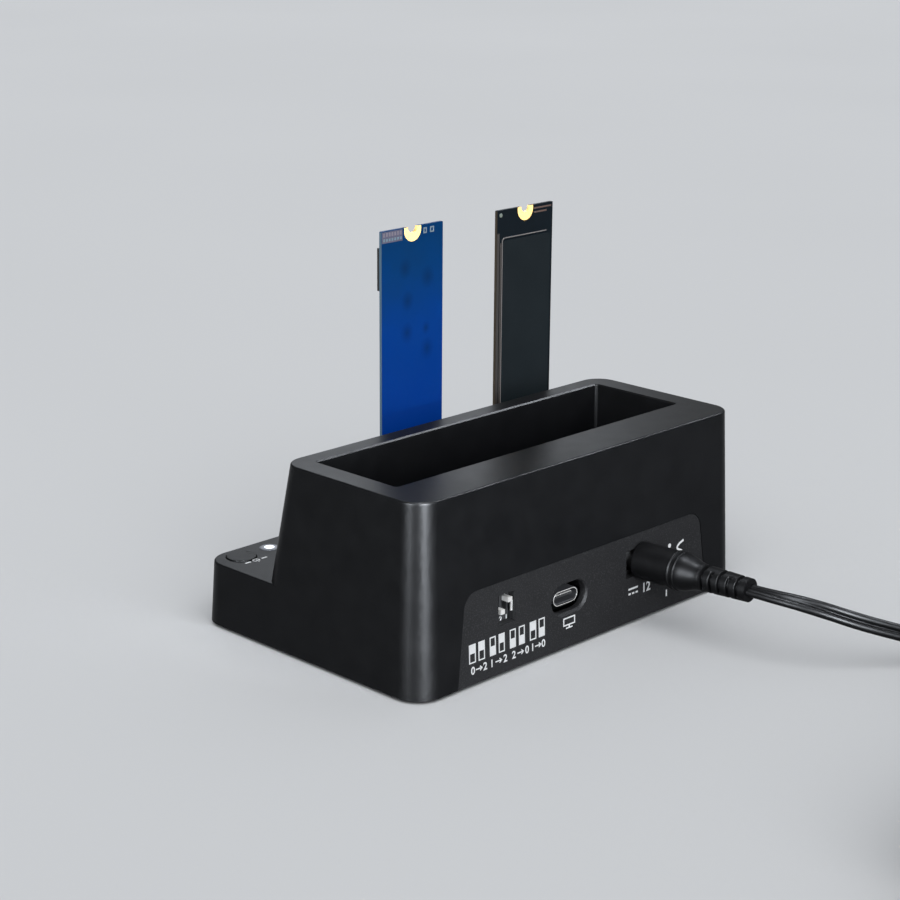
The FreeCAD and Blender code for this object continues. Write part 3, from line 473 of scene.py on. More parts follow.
def turned_skin(start, way, along, radius, count):
    """Surface of revolution: rings of the given radii, at distances along a straight axis.
    The radius may also change round each ring."""
    side = unit(np.cross(way, (0.0, 0.0, 1.0)))
    up = np.cross(side, way)
    turn = np.linspace(0.0, 2.0 * np.pi, count, endpoint=False)
    along = np.asarray(along, float)
    radius = np.broadcast_to(np.reshape(radius, (len(along), -1)), (len(along), count))
    centres = start + along[:, None] * way
    round_way = side * np.cos(turn)[:, None] + up * np.sin(turn)[:, None]
    return centres[:, None, :] + radius[:, :, None] * round_way[None, :, :]


def rounded_profile(corners, radius, steps=6):
    """Profile with each inner corner replaced by a short curve: a quadratic through points
    at the given distance before and after the corner."""
    corners = np.array(corners, float)
    made = [corners[0]]
    for before, corner, after in zip(corners, corners[1:], corners[2:]):
        back, on = before - corner, after - corner
        reach = min(radius, 0.45 * np.linalg.norm(back), 0.45 * np.linalg.norm(on))
        first, last = corner + unit(back) * reach, corner + unit(on) * reach
        share = np.linspace(0.0, 1.0, steps)[:, None]
        curve = (1 - share) ** 2 * first + 2 * share * (1 - share) * corner + share**2 * last
        made.extend(curve)
    made.append(corners[-1])
    return np.array(made)


grip_pvc = soft_pvc(
    "grip_pvc", 0.004, 0.00025, 0.000010, 0.12, 0.36, 0.022, light=(0.005, 0.005, 0.0057)
)
plug_steps = 96
grip_radius = 0.00483
ring_radius = 0.00508
neck_radius = 0.00345
bell_start = 0.0133
grip_length = 0.01945
bell_share = np.linspace(0.0, 1.0, 24)
bell_fall = (1.0 - np.cos(np.pi * bell_share)) / 2.0
bell = np.stack(
    (
        bell_start + (grip_length - bell_start) * bell_share,
        grip_radius - (grip_radius - neck_radius) * bell_fall,
    ),
    axis=1,
)
grip_corners = [(0.0, 0.0), (0.0, grip_radius)]
for rib in (0.0110, 0.0126):
    grip_corners += [
        (rib, grip_radius),
        (rib + 0.0001, ring_radius),
        (rib + 0.0005, ring_radius),
        (rib + 0.0006, grip_radius),
    ]
grip_profile = np.concatenate(
    (
        rounded_profile(grip_corners + [tuple(bell[0])], 0.0004)[1:-1],
        bell[:-1],
        rounded_profile([bell[-2], bell[-1], (grip_length, 0.0026)], 0.0002)[1:],
    )
)
grip_along, grip_reach = grip_profile.T
grip_skin = turned_skin(plug_start, plug_way, grip_along, grip_reach, plug_steps)
grip = capped("plug_grip_moulding", grip_skin, grip_pvc)
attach(grip, "dock")
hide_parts("plug_grip")

relief_start = plug_start + plug_way * grip_length
relief_length = 0.0137
relief_wide = 0.0034
relief_taper = 0.0004
relief_core = 0.0023
first_slit = 0.0011
slit_pitch = 0.00255
slit_count = 5
slit_half = 0.00040
slit_edge = 0.00058
web_start, web_end = 138.0, 150.0
relief_along = np.linspace(0.0, relief_length, 241)
relief_turn = np.linspace(0.0, 2.0 * np.pi, plug_steps, endpoint=False)


def relief_radius(along, turn):
    """Slim cone over a thinner core. Slits cut down to the core, each over about 290 degrees
    and from above and below by turns, with walls that rise smoothly."""
    cone = relief_wide - relief_taper * along / relief_length
    number = np.round((along - first_slit) / slit_pitch)
    off_slit = np.abs(along - first_slit - slit_pitch * number)
    side = np.where(number % 2 == 0, 1.0, -1.0)
    off_middle = np.degrees(np.arccos(np.clip(side * np.sin(turn), -1.0, 1.0)))
    wall = smooth_share(off_slit, slit_half, slit_edge)
    web = smooth_share(off_middle, web_start, web_end)
    solid = np.where(number < slit_count, np.maximum(wall, web), 1.0)
    return relief_core + (cone - relief_core) * solid


relief_reach = relief_radius(relief_along[:, None], relief_turn[None, :])
relief_skin = turned_skin(relief_start, plug_way, relief_along, relief_reach, plug_steps)
relief = capped("plug_relief_rings", relief_skin, grip_pvc, 70.0)
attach(relief, "dock")
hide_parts("plug_strain_relief")


def plated(name, colour, roughness):
    """Plated or bare metal: fine scratches in the gloss, and slow changes of tone."""
    finish = Finish(name, Metallic=1.0)
    slow = finish.noise(0.003, 3.0)
    fine = finish.noise(0.0002, 3.0)
    dark = [c * 0.88 for c in colour]
    finish.vary("Base Color", finish.blend(slow, dark, colour))
    finish.vary("Roughness", fine * 0.15 + (roughness - 0.07))
    finish.relief(fine, 0.000004)
    return finish.material


nickel = plated("nickel_plate", (0.72, 0.70, 0.66), 0.28)
steel = plated("bare_steel", (0.34, 0.34, 0.35), 0.42)
gold = plated("gold_plate", (0.83, 0.62, 0.28), 0.30)
# The blades' brass is dull, so it takes the plain finish and not the plated one.
brass = moulded("brass_blade", (0.50, 0.37, 0.15), 0.40, mottle=0.08, Specular_IOR_Level=0.02)


def dress(name, material):
    """Gives a carried-over CAD piece its finish."""
    node = frame["nodes"][name]
    node.data.materials.clear()
    node.data.materials.append(material)


def smoothed(name, material, angle=30.0):
    """Copy of a CAD piece with its loose triangles merged, empty ones left out, and its
    rounded faces shaded as one surface, which stands in for that piece."""
    node = frame["nodes"][name]
    data = node.data
    points = np.zeros(len(data.vertices) * 3)
    data.vertices.foreach_get("co", points)
    points = points.reshape(-1, 3)
    corners = np.zeros(len(data.loops), int)
    data.loops.foreach_get("vertex_index", corners)
    rounded = np.round(points * 1e7).astype(np.int64)
    places, index = np.unique(rounded, axis=0, return_inverse=True)
    first = np.zeros(len(places), int)
    first[index.ravel()] = np.arange(len(points))
    faces = index.ravel()[corners].reshape(-1, 3)
    whole = (faces != np.roll(faces, -1, axis=1)).all(axis=1)
    faces = faces[whole].tolist()
    made = piece(f"{name}_skin", points[first], faces, material, angle, closed=False)
    normals = made.modifiers.new("flat_faces_first", "WEIGHTED_NORMAL")
    normals.keep_sharp = True
    normals.weight = 60
    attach(made, node["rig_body"])
    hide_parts(name)
    return made


# The barrel's nickel is darkened nearly to black: painted shade for the barrel seen in the gap
# between the grip and the jack.
barrel_painted_shade = plated("barrel_painted_shade", (0.05, 0.05, 0.05), 0.5)
smoothed("plug_barrel", barrel_painted_shade)

# Wall adapter. A welded black box with a fine grain, a short tapered strain relief at one end
# and two brass blades at the other.
adapter_plastic = moulded(
    "adapter_plastic", (0.0060, 0.0062, 0.0070), 0.60, grain=0.0006, depth=0.00003,
    Specular_IOR_Level=0.004,
)
smoothed("adapter_case", adapter_plastic)
smoothed("adapter_strain_relief", grip_pvc)
dress("adapter_blades", brass)

# Case shell. One moulding of black ABS with a satin, finely spark-eroded face: the tower, the
# low deck before it, the drive bay and the collars round the card sockets.
shell_plastic = moulded(
    "shell_abs", (0.0018, 0.0020, 0.0027), 0.37, grain=0.00028, depth=0.000008,
    Specular_IOR_Level=0.04,
)
smoothed("case_shell", shell_plastic)

# Rear panel. A separate black plate with a coarser matt grain, held in its opening by a lip,
# and printed in white.
panel_finish = Finish("panel_grain", Specular_IOR_Level=0.024)
panel_grain = panel_finish.noise(0.00033, 3.0)
panel_speck = panel_finish.node(
    "ShaderNodeValToRGB",
    {"stops": [(0.52, (0.0, 0.0, 0.0)), (0.72, (1.0, 1.0, 1.0))]},
    {"Fac": panel_grain},
)
panel_slow = panel_finish.noise(0.008, 3.0)
panel_dark, panel_light = (0.0078, 0.0077, 0.0085), (0.027, 0.0268, 0.0285)
panel_finish.vary("Base Color", panel_finish.blend(panel_speck, panel_dark, panel_light))
panel_finish.vary("Roughness", panel_slow * 0.1 + 0.55)
panel_finish.relief(panel_grain, 0.00004)
smoothed("rear_panel", panel_finish.material)

lean = np.radians(2.3)
wall_foot = np.array((0.0, 0.0395, 0.0008))
panel_face = -0.00012
ink_half = 0.00003


def on_wall(across, up, out):
    """Place on the leaning rear wall: x across, the distance up the wall, and out from it."""
    across, up, out = np.broadcast_arrays(across, up, out)
    y = out * np.cos(lean) - up * np.sin(lean)
    z = out * np.sin(lean) + up * np.cos(lean)
    return np.stack((across, y, z), axis=-1) + wall_foot


def stroke(points, width, closed=False):
    """Flat line of even width along points: each point moved to both sides by half the width
    along the mean of its neighbours' normals."""
    points = np.array(points, float)
    if closed:
        way = unit(np.roll(points, -1, 0) - points) + unit(points - np.roll(points, 1, 0))
    else:
        runs = unit(np.diff(points, axis=0))
        way = np.concatenate((runs[:1], runs[:-1] + runs[1:], runs[-1:]))
    way = unit(way)
    out = np.stack((-way[:, 1], way[:, 0]), axis=1) * width / 2
    return points - out, points + out


def print_mesh(shapes, place, low, high):
    """Thin raised ink: each shape is a pair of edge lines, closed or open, made a solid
    strip between two heights over its face."""
    points, faces = [], []
    for (left, right), closed in shapes:
        count = len(left)
        base = sum(len(p) for p in points)
        strip = [place(e[:, 0], e[:, 1], level) for e in (left, right) for level in (low, high)]
        points.extend(strip)
        a, b, c, d = (base + k * count + np.arange(count) for k in range(4))
        nxt = slice(None) if closed else slice(0, count - 1)
        for first, second in ((b, d), (d, c), (c, a), (a, b)):
            f2, s2 = np.roll(first, -1), np.roll(second, -1)
            faces += np.stack((first, second, s2, f2), axis=1)[nxt].tolist()
        if not closed:
            faces += [[a[0], b[0], d[0], c[0]], [a[-1], b[-1], d[-1], c[-1]]]
    return np.concatenate(points), faces


def box_line(x0, x1, y0, y1, width):
    """Outline of a rectangle, drawn inside it."""
    inward = np.array([(width, width), (-width, width), (-width, -width), (width, -width)])
    outer = np.array([(x0, y0), (x1, y0), (x1, y1), (x0, y1)])
    return (outer, outer + inward), True


def bar(x0, x1, y0, y1):
    """Filled rectangle."""
    return (np.array([(x0, y0), (x1, y0)]), np.array([(x0, y1), (x1, y1)])), False


def arc(x, y, radius, start, end, width, count=28):
    """Round line between two angles in degrees."""
    turn = np.radians(np.linspace(start, end, count))
    points = np.stack((x + radius * np.cos(turn), y + radius * np.sin(turn)), axis=1)
    return stroke(points, width), False


ink_finish = Finish("white_ink", Roughness=0.6, Specular_IOR_Level=0.05)
ink_wear = ink_finish.noise(0.0005, 3.0)
ink_worn, ink_whole = (0.74, 0.75, 0.77), (0.88, 0.89, 0.90)
ink_finish.vary("Base Color", ink_finish.blend(ink_wear, ink_worn, ink_whole))
ink = ink_finish.material

# Printed marks, in millimetres across the panel and up it: eight switch positions over their
# numbers, a monitor sign under the USB-C socket, and a direct-current sign and polarity marks
# round the jack.
mm = 0.001
mark_line = 0.32
box_low, box_split, box_high = 5.35, 7.75, 10.1
fill_inset = 0.28
fill_low, fill_high = 5.6, 9.85
arrow_level = 3.45
arrow_barb = 0.55
switch_boxes = [
    (40.8, 43.1, True),
    (37.7, 39.9, True),
    (33.9, 36.0, False),
    (30.8, 32.9, True),
    (26.9, 29.0, False),
    (23.7, 25.8, False),
    (19.6, 21.9, True),
    (16.5, 18.7, False),
]
marks = []
for low_x, high_x, upper in switch_boxes:
    marks.append(box_line(low_x, high_x, box_low, box_high, mark_line))
    fill = (box_split, fill_high) if upper else (fill_low, box_split)
    marks.append(bar(low_x + fill_inset, high_x - fill_inset, *fill))
captions = [(42.8, 36.7, "02"), (36.3, 29.7, "12"), (28.6, 22.0, "20"), (21.9, 16.1, "10")]
for left, right, _ in captions:
    middle = (left + right) / 2
    shaft = [(middle + 1.1, arrow_level), (middle - 1.0, arrow_level)]
    head = [
        (middle - 0.3, arrow_level + arrow_barb),
        (middle - 1.1, arrow_level),
        (middle - 0.3, arrow_level - arrow_barb),
    ]
    marks += [(stroke(shaft, mark_line), False), (stroke(head, mark_line), False)]
marks.append(box_line(5.3, 9.7, 5.55, 7.7, 0.36))
marks.append(bar(6.3, 8.7, 4.75, 5.1))
marks.append(bar(7.25, 7.75, 5.1, 5.55))
marks.append(bar(-19.0, -15.3, 8.45, 8.95))
for dash in (-15.9, -17.3, -18.7):
    marks.append(bar(dash - 0.3, dash + 0.6, 7.15, 7.65))
marks.append(bar(-30.8, -30.35, 3.0, 4.8))
marks.append(arc(-31.8, 16.45, 0.3, 0.0, 359.0, 0.6))
polarity = [
    (-37.59, 16.67),
    (-36.02, 16.18),
    (-35.15, 15.6),
    (-34.91, 15.28),
    (-35.05, 14.9),
    (-35.62, 14.53),
    (-36.96, 13.9),
]
marks.append((stroke(polarity, 0.6), False))
ink_points, ink_faces = print_mesh(
    marks,
    lambda x, v, n: on_wall(x * mm, v * mm, n),
    panel_face - ink_half,
    panel_face + ink_half,
)
panel_ink = piece("panel_ink", ink_points, ink_faces, ink, 30.0)
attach(panel_ink, "dock")


def digits(name, text, size, place):
    """Plain numerals as thin raised ink: outlines filled and given a thickness, then each
    point taken to its place by a function of its flat position and height."""
    curve = bpy.data.curves.new(name, "FONT")
    curve.body = text
    curve.size = size
    curve.align_x = "CENTER"
    curve.extrude = ink_half
    curve.offset = 0.02 * size
    made = bpy.data.objects.new(name, curve)
    scene.collection.objects.link(made)
    bpy.context.view_layer.update()
    mesh = bpy.data.meshes.new_from_object(made)
    bpy.data.objects.remove(made)
    points = np.zeros(len(mesh.vertices) * 3)
    mesh.vertices.foreach_get("co", points)
    points = points.reshape(-1, 3)
    faces = [list(p.vertices) for p in mesh.polygons]
    bpy.data.meshes.remove(mesh)
    return place(points[:, 0], points[:, 1], points[:, 2]), faces


number_points, number_faces = [], []
caption_level, caption_size, caption_inset = 2.55, 2.7, 0.95
numerals = [(-22.3, "12", 6.6, 3.5)]
for left, right, pair in captions:
    for x, text in ((left - caption_inset, pair[0]), (right + caption_inset, pair[1])):
        numerals.append((x, text, caption_level, caption_size))
for x, text, up, size in numerals:
    placed, faces = digits(
        "numeral", text, size * mm,
        lambda a, b, c: on_wall(x * mm - a, up * mm + b, panel_face + c),
    )
    offset = sum(len(p) for p in number_points)
    number_points.append(placed)
    number_faces += [[k + offset for k in f] for f in faces]
numbers = piece("panel_numbers", np.concatenate(number_points), number_faces, ink, 30.0)
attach(numbers, "dock")

# Mode switch. A black two-pole slide switch behind its window, whose walls are lined with a
# thin black sheet as painted shade. Its sliders are white nylon, with the pole numbers printed
# under them.
switch_plastic = moulded(
    "switch_nylon", (0.0045, 0.0045, 0.0050), 0.5, Specular_IOR_Level=0.10
)
slider_plastic = moulded("slider_nylon", (0.86, 0.86, 0.85), 0.38, mottle=0.04)
smoothed("mode_switch", switch_plastic)
for number in (1, 2):
    dress(f"mode_slider_{number}", slider_plastic)


def node_box(name):
    """Smallest and largest corner of a CAD piece."""
    corners = np.array(frame["nodes"][name].bound_box)
    return corners.min(axis=0), corners.max(axis=0)


def block(name, low, high, material):
    """Plain box between two corners."""
    ends = list(zip(low, high))
    corners = [(x, y, z) for x in ends[0] for y in ends[1] for z in ends[2]]
    faces = [(0, 1, 3, 2), (4, 6, 7, 5), (0, 4, 5, 1), (2, 3, 7, 6), (0, 2, 6, 4), (1, 5, 7, 3)]
    return piece(name, corners, faces, material)


switch_face = node_box("mode_switch")[1][1]
rail = block(
    "mode_switch_rail", (0.0270, 0.0376, 0.0152), (0.0275, 0.0379, 0.0178), slider_plastic
)
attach(rail, "dock")
# A thin black sheet over the window's four walls: painted shade, which hides the grey of the
# panel's own walls.
window_box = (0.02690, 0.03280, 0.01280, 0.02050)
shade_liner_wall = 0.00005
shade_liner_back, shade_liner_front = 0.0366, 0.0385


def facing_back(x, z, y):
    """Place on an upright face: x across, the height, and the distance towards the rear."""
    return np.stack(np.broadcast_arrays(x, y, z), axis=-1)


shade_liner_points, shade_liner_faces = print_mesh(
    [box_line(*window_box, shade_liner_wall)], facing_back, shade_liner_back, shade_liner_front
)
shade_liner = piece("mode_switch_shade_liner", shade_liner_points, shade_liner_faces, switch_plastic)
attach(shade_liner, "dock")
for number, x, z, size in ((1, 0.0275, 0.01255, 0.0019), (2, 0.0295, 0.01245, 0.0020)):
    placed, faces = digits(
        "pole_numeral", str(number), size,
        lambda a, b, c: np.stack((x - a, switch_face + 0.00002 + c, z + b), axis=-1),
    )
    pole = piece(f"mode_switch_pole_{number}", placed, faces, ink, 30.0)
    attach(pole, "dock")

# USB-C socket. A shell of drawn steel, nickel plated, round a black nylon tongue that holds
# the contacts. It is soldered to the board and stands a little behind the panel.
# Its metal is darkened nearly to black: painted shade for the inside of the socket. The rim at its
# front keeps the nickel's colour.
usb_shell_painted_shade = plated("usb_c_shell_painted_shade", (0.020, 0.020, 0.021), 0.45)
smoothed("usb_c_shell", usb_shell_painted_shade)
dress("usb_c_tongue", switch_plastic)
usb_low, usb_high = node_box("usb_c_shell")
rim_inset = 0.00012
rim_width = 0.00013
usb_middle = (usb_low + usb_high) / 2
usb_half = (usb_high - usb_low) / 2 - rim_inset
usb_turn = np.linspace(-np.pi / 2, np.pi / 2, 17)
usb_end = np.stack((np.cos(usb_turn), np.sin(usb_turn)), axis=1) * usb_half[2]
usb_end[:, 0] += usb_half[0] - usb_half[2]
usb_loop = np.concatenate((usb_end, -usb_end)) + usb_middle[[0, 2]]
rim_points, rim_faces = print_mesh(
    [(stroke(usb_loop, rim_width, closed=True), True)],
    lambda x, z, n: facing_back(x, z, usb_high[1] + n),
    -0.00005,
    0.00004,
)
rim = piece("usb_c_rim", rim_points, rim_faces, nickel, 30.0)
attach(rim, "dock")
tongue_low, tongue_high = node_box("usb_c_tongue")
contact_line = block(
    "usb_c_contact_line",
    (tongue_low[0] + 0.0003, tongue_high[1] - 0.0004, tongue_high[2] - 0.00002),
    (tongue_high[0] - 0.0003, tongue_high[1] + 0.00003, tongue_high[2] + 0.00010),
    nickel,
)
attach(contact_line, "dock")

# Power jack. A body of black nylon with a nickel-plated centre pin, soldered to the board
# behind the panel.
smoothed("dc_jack", switch_plastic)
dress("dc_jack_pin", nickel)

# Deck controls. Two smooth black caps on low push switches, a round frosted light pipe that
# glows white, four small ones that show a copy's progress, and a printed power sign.
button_plastic = moulded(
    "button_abs", (0.0022, 0.0028, 0.0029), 0.36, grain=0.0004, depth=0.000004,
    Specular_IOR_Level=0.032,
)
for name in ("power_button", "copy_button"):
    smoothed(name, button_plastic)
for name in ("power_plunger", "copy_plunger"):
    dress(name, switch_plastic)
for name in ("power_switch", "copy_switch"):
    dress(name, steel)
pipe_low, pipe_high = node_box("power_light_pipe")
lens_middle = ((pipe_low + pipe_high) / 2)[:2]
lens_radius = (pipe_high[0] - pipe_low[0]) / 2
glow_finish = Finish(
    "lit_light_pipe", Roughness=0.35, Emission_Strength=3.0, Specular_IOR_Level=0.1
)
glow_noise = glow_finish.noise(0.0008)
glow_flat = glow_finish.node(
    "ShaderNodeVectorMath", {"operation": "MULTIPLY"}, {0: glow_finish.place, 1: (1.0, 1.0, 0.0)}
)
glow_reach = glow_finish.node(
    "ShaderNodeVectorMath",
    {"operation": "DISTANCE"},
    {0: glow_flat, 1: (*lens_middle, 0.0)},
    output=1,
)
glow_stops = [
    (0.38, (0.85, 0.92, 1.0)),
    (0.58, (0.06, 0.063, 0.075)),
    (1.0, (0.012, 0.013, 0.016)),
]
glow = glow_finish.node(
    "ShaderNodeValToRGB",
    {"stops": glow_stops},
    {"Fac": glow_reach / lens_radius + glow_noise * 0.06},
)
frost_dark, frost_light = (0.030, 0.032, 0.036), (0.045, 0.048, 0.054)
glow_finish.vary("Base Color", glow_finish.blend(glow_noise, frost_dark, frost_light))
glow_finish.vary("Emission Color", glow)
smoothed("power_light_pipe", glow_finish.material)
lens_rim = lens_radius - 0.00003
lens_crown = 0.00018
lens_sink = 0.0001
lens_rise = np.linspace(0.0, np.pi / 2, 9)
lens_turn = np.linspace(0.0, 2.0 * np.pi, 64, endpoint=False)
lens_reach = np.concatenate((lens_rim * np.sin(lens_rise), [lens_rim]))
lens_height = np.concatenate((lens_crown * np.cos(lens_rise), [-lens_sink])) + pipe_high[2]
lens_rings = np.stack(
    np.broadcast_arrays(
        lens_middle[0] + lens_reach[:, None] * np.cos(lens_turn),
        lens_middle[1] + lens_reach[:, None] * np.sin(lens_turn),
        lens_height[:, None],
    ),
    axis=2,
)
rows, columns = lens_rings.shape[:2]
lens_foot = [(rows - 1) * columns + k for k in range(columns)]
lens_faces = grid_faces(rows, columns) + [lens_foot]
lens = piece("power_lamp_lens", lens_rings, lens_faces, glow_finish.material)
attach(lens, "dock")
pipe_plastic = moulded("clear_light_pipe", (0.62, 0.66, 0.70), 0.3, mottle=0.05)
smoothed("progress_light_pipes", pipe_plastic)
dress("lamp_chips", pipe_plastic)

deck_top = 0.017


def on_deck(x, y, z):
    """Place on the deck, with a height over it."""
    x, y, z = np.broadcast_arrays(x, y, z)
    return np.stack((x, y, z + deck_top), axis=-1)


sign_x, sign_y, sign_line = 51.0, -28.1, 0.28
deck_marks = [
    arc(sign_x, sign_y, 0.85, 125.0, 415.0, sign_line),
    (stroke([(sign_x, sign_y), (sign_x, sign_y + 1.3)], sign_line), False),
    bar(47.5, 49.2, -28.4, -27.85),
    bar(52.8, 54.5, -28.4, -27.85),
]
deck_points, deck_faces = print_mesh(
    deck_marks, lambda x, y, n: on_deck(x * mm, y * mm, n), -0.00002, 0.00003
)
deck_ink = piece("deck_ink", deck_points, deck_faces, ink, 30.0)
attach(deck_ink, "dock")

# Drive receptacle and card sockets. Bodies of black glass-filled nylon with gold-plated
# contacts, soldered to the board under the bay and the deck.
socket_plastic = moulded(
    "socket_nylon", (0.010, 0.010, 0.011), 0.55, grain=0.0005, depth=0.00002,
    Specular_IOR_Level=0.15,
)
for name in ("drive_receptacle", "m2_socket_1", "m2_socket_2"):
    dress(name, socket_plastic)
for name in ("drive_contacts", "m2_contacts"):
    dress(name, gold)

# Cards. Glass-fibre boards under a solder mask, blue on one and blue-black on the other, with
# a gold pad round the fixing notch, gold contacts on the tongue and memory chips in front.
card_top = 0.0973
card_length = 0.080
card_middles = {1: 0.0037, 2: -0.0388}
card_back_y = -0.0200
card_front_y = -0.0208
bare_edge_from = 0.01096


def solder_mask(name, stops, middle=0.0, edge=None, dimples=()):
    """Solder mask over copper: slow changes of shade up the board, soft dark dimples where the
    copper dips, and the bare glass-fibre colour on the board's edges."""
    finish = Finish(name, Specular_IOR_Level=0.012)
    slow = finish.noise(0.009, 4.0)
    fine = finish.noise(0.0004)
    height = finish.node("ShaderNodeSeparateXYZ", {}, {"Vector": finish.place}, output=2)
    shade = (height - (card_top - card_length)) / card_length + slow * 0.16 - 0.08
    mask = finish.node("ShaderNodeValToRGB", {"stops": stops}, {"Fac": shade})
    flat = finish.node(
        "ShaderNodeVectorMath", {"operation": "MULTIPLY"}, {0: finish.place, 1: (1.0, 0.0, 0.8)}
    )
    dips = 0.0
    for x, z, reach in dimples:
        spot = finish.node(
            "ShaderNodeVectorMath",
            {"operation": "DISTANCE"},
            {0: flat, 1: (x, 0.0, 0.8 * z)},
            output=1,
        )
        dips = (1.0 - spot / reach).maths("MAXIMUM", 0.0) + dips
    if dimples:
        mask = finish.blend(dips * 0.55, mask, (0.0, 0.020, 0.085))
    if edge:
        across = finish.node("ShaderNodeSeparateXYZ", {}, {"Vector": finish.place})
        mask = finish.blend(abs(across - middle) > bare_edge_from, mask, edge)
    finish.vary("Base Color", mask)
    finish.vary("Roughness", slow * 0.12 + 0.32)
    finish.relief(fine * 0.3 - dips * 0.5, 0.00002)
    return finish.material


blue_stops = [
    (0.40, (0.0, 0.046, 0.320)),
    (0.66, (0.0, 0.056, 0.325)),
    (0.86, (0.0, 0.053, 0.215)),
    (0.97, (0.0, 0.047, 0.170)),
]
blue_edge = (0.12, 0.20, 0.28)
blue_dimples = [
    (0.00636, 0.08671, 0.0024),
    (-0.00177, 0.08355, 0.0026),
    (0.00546, 0.07809, 0.0024),
    (0.00566, 0.06977, 0.0024),
    (-0.00165, 0.06452, 0.0026),
    (-0.00118, 0.07008, 0.0016),
]
blue_mask = solder_mask(
    "blue_solder_mask", blue_stops, card_middles[1], blue_edge, blue_dimples
)
black_stops = [(0.30, (0.006, 0.009, 0.011)), (0.95, (0.007, 0.012, 0.017))]
black_edge = (0.075, 0.060, 0.045)
black_mask = solder_mask("black_solder_mask", black_stops, card_middles[2], black_edge)
dress("m2_card_1_board", blue_mask)
dress("m2_card_2_board", black_mask)
chip_epoxy = moulded(
    "chip_epoxy", (0.008, 0.008, 0.009), 0.5, grain=0.0002, depth=0.000012, Specular_IOR_Level=0.10
)
dress("m2_card_1_chips", chip_epoxy)
dress("m2_card_2_chips", chip_epoxy)
film = moulded(
    "heat_film", (0.0105, 0.0160, 0.0195), 0.42, grain=0.0005, depth=0.000006,
    Specular_IOR_Level=0.02,
)
smoothed("m2_card_2_heat_sheet", film)

half_turn = np.linspace(np.pi, 2.0 * np.pi, 33)
half_ring = np.stack((np.cos(half_turn), np.sin(half_turn)), axis=1)
notch_radius = 0.00178
pad_radius = 0.0030
pad_drop = 0.0008
pad_top = -0.00002


def notch_pad():
    """Gold pad round the notch, on one face of a card: a U between the notch's own half circle
    and a larger one set a little lower, whose sides rise straight to the card's end."""
    inner = half_ring * notch_radius
    inner[[0, -1], 1] = pad_top
    inner = np.concatenate((inner[:1], inner, inner[-1:]))
    outer = half_ring * pad_radius - (0.0, pad_drop)
    outer = np.concatenate(([(-pad_radius, pad_top)], outer, [(pad_radius, pad_top)]))
    return (inner, outer), False


def card_shapes(name, number, shapes, material, front=False, low=-0.00002, high=0.00004):
    """Thin raised shapes on one face of a card, drawn from the middle of its top edge."""
    face_y = card_front_y if front else card_back_y
    sign = -1.0 if front else 1.0
    card_x = card_middles[number]

    def place(x, z, n):
        x, z, n = np.broadcast_arrays(x, z, n)
        return np.stack((card_x + x, face_y + sign * n, card_top + z), axis=-1)

    points, faces = print_mesh(shapes, place, low, high)
    made = piece(name, points, faces, material, 30.0)
    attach(made, f"card_{number}_body")
    return made


notch_gold = plated("notch_gold", (0.66, 0.41, 0.14), 0.38)
contact_pitch = 0.0005
contact_half = 0.00018
contact_low, contact_high = -0.0799, -0.0776
key_x, key_half = 0.0061, 0.0008
contact_places = [k * contact_pitch for k in range(-18, 19)]
fingers = [
    bar(x - contact_half, x + contact_half, contact_low, contact_high)
    for x in contact_places
    if abs(x - key_x) > key_half
]
liner = (half_ring * 0.00171, half_ring * 0.00176), False
for number in card_middles:
    for front in (False, True):
        side = "front" if front else "back"
        pad_name = f"card_{number}_notch_pad_{side}"
        card_shapes(pad_name, number, [notch_pad()], notch_gold, front)
        card_shapes(f"card_{number}_fingers_{side}", number, fingers, gold, front)
    liner_name = f"card_{number}_notch_liner"
    card_shapes(liner_name, number, [liner], notch_gold, low=-0.00083, high=0.00003)


def printed(name, low, high, roughness=0.55):
    """Ink or mask on a card, and a painted highlight: a flat colour with a little wear."""
    finish = Finish(name, Roughness=roughness, Specular_IOR_Level=0.1)
    wear = finish.noise(0.0004)
    finish.vary("Base Color", finish.blend(wear, low, high))
    return finish.material


band = printed("lilac_mask", (0.050, 0.050, 0.105), (0.075, 0.073, 0.145))
lilac_ink = printed("lilac_silkscreen", (0.12, 0.095, 0.15), (0.19, 0.16, 0.22))
sky_ink = printed("sky_silkscreen", (0.09, 0.16, 0.23), (0.14, 0.23, 0.31))
card_shapes(
    "card_1_band", 1, [bar(0.0036, 0.0108, -0.0031, -0.0002)], band, high=0.00002
)
dot_pitch = 0.00098
dot_start, dot_end = 0.0039, 0.00455
dot_rows = (("upper", -0.0015, 0.0010, lilac_ink), ("lower", -0.0027, 0.0007, sky_ink))
for row, level, height, colour in dot_rows:
    dots = [
        bar(dot_start + dot_pitch * k, dot_end + dot_pitch * k, level, level + height)
        for k in range(7)
    ]
    card_shapes(f"card_1_dots_{row}", 1, dots, colour)
pad_line = 0.00034
pads = [
    box_line(-0.0051, -0.0039, -0.0023, -0.0008, pad_line),
    box_line(-0.0077, -0.0063, -0.0023, -0.0008, pad_line),
]
pad_ink = printed("pad_tin", (0.15, 0.23, 0.29), (0.21, 0.30, 0.36))
card_shapes("card_1_pads", 1, pads, pad_ink)
copper = printed("masked_copper", (0.10, 0.055, 0.042), (0.15, 0.085, 0.062), 0.45)
lines = [bar(-0.0103, -0.00345, -0.00122, -0.00080), bar(-0.0085, -0.0035, -0.00230, -0.00190)]
card_shapes("card_2_lines", 2, lines, copper)
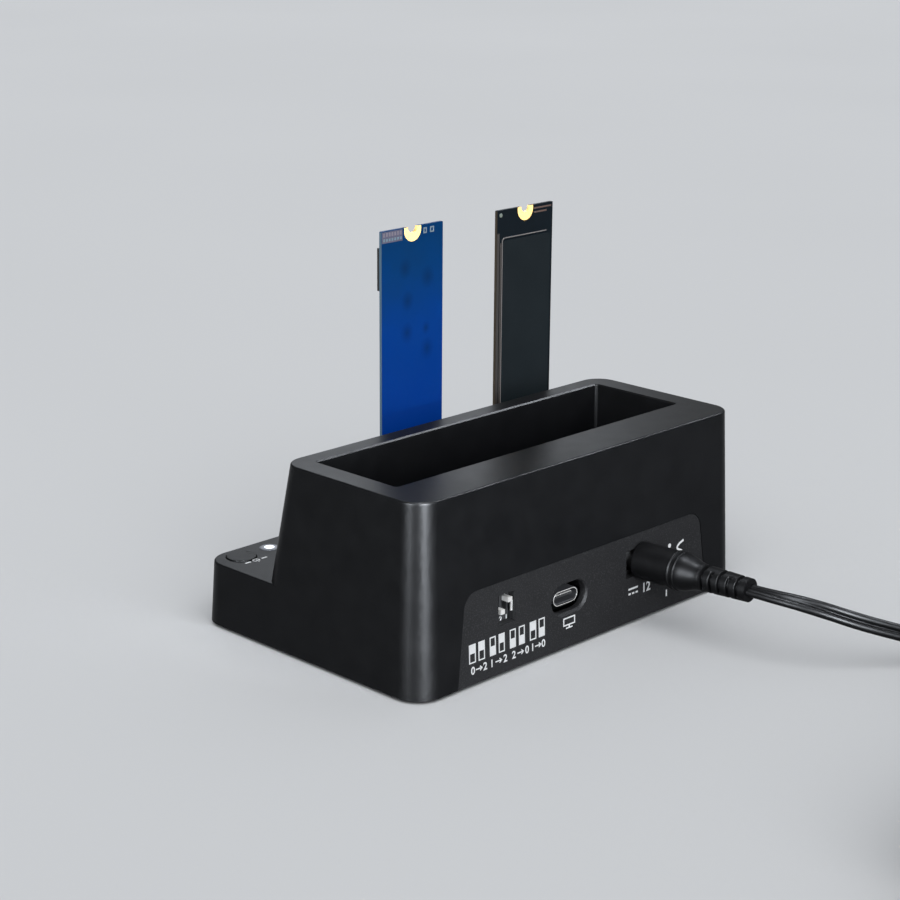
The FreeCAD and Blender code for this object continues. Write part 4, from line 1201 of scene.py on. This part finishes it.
tin = printed("fiducial_tin", (0.22, 0.27, 0.23), (0.30, 0.35, 0.31), 0.4)
fiducial = arc(0.00956, -0.00137, 0.00028, 0.0, 359.0, 0.00055)
card_shapes("card_2_fiducial", 2, [fiducial], tin)
margin = printed("masked_copper_margin", (0.026, 0.020, 0.0165), (0.034, 0.026, 0.021), 0.45)
board_margin = bar(0.01002, 0.01090, -0.0720, -0.0062)
card_shapes("card_2_margin", 2, [board_margin], margin, high=0.00002)
sheet_margin = bar(0.00912, 0.00995, -0.0725, -0.0088)
card_shapes(
    "card_2_sheet_margin", 2, [sheet_margin], margin, low=0.00018, high=0.00022
)
# A pale strip over the heat sheet's edge and round its corner: a painted highlight, where that
# edge catches the light.
sheet_edge_highlight = printed("sheet_edge_painted_highlight", (0.21, 0.195, 0.19), (0.27, 0.25, 0.245), 0.4)
highlight_bend = 0.001
highlight_x, highlight_z = 0.00805, -0.0086
corner_turn = np.radians(np.linspace(0.0, 90.0, 9))
highlight_line = [(highlight_x + highlight_bend, -0.0728)]
highlight_line += [
    (highlight_x + highlight_bend * np.cos(t), highlight_z + highlight_bend * np.sin(t)) for t in corner_turn
]
highlight_line += [(-0.0084, highlight_z + highlight_bend)]
highlight_edge = stroke(highlight_line, 0.00022), False
card_shapes("card_2_sheet_edge", 2, [highlight_edge], sheet_edge_highlight, low=0.00002, high=0.00023)

# Circuit board and what is soldered to it. Near-black solder mask, black chips and inductors,
# and aluminium capacitor cans. It is seen only through the openings.
board_stops = [(0.0, (0.004, 0.005, 0.005)), (1.0, (0.006, 0.008, 0.008))]
dress("main_board", solder_mask("board_mask", board_stops))
for name in ("controller_chips", "power_inductors"):
    dress(name, chip_epoxy)
dress("capacitor_cans", steel)
dress("clock_crystal", nickel)

# Base cover, screws and feet. A plain black plate under the case, held by four screws, on
# four round rubber feet.
cover_plastic = moulded("cover_abs", (0.015, 0.015, 0.016), 0.55, grain=0.0005, depth=0.00003)
rubber = moulded("foot_rubber", (0.012, 0.012, 0.012), 0.8, grain=0.0004, depth=0.00003)
smoothed("base_cover", cover_plastic)
for name in ("case_screws", "board_screws"):
    dress(name, steel)
smoothed("rubber_feet", rubber)
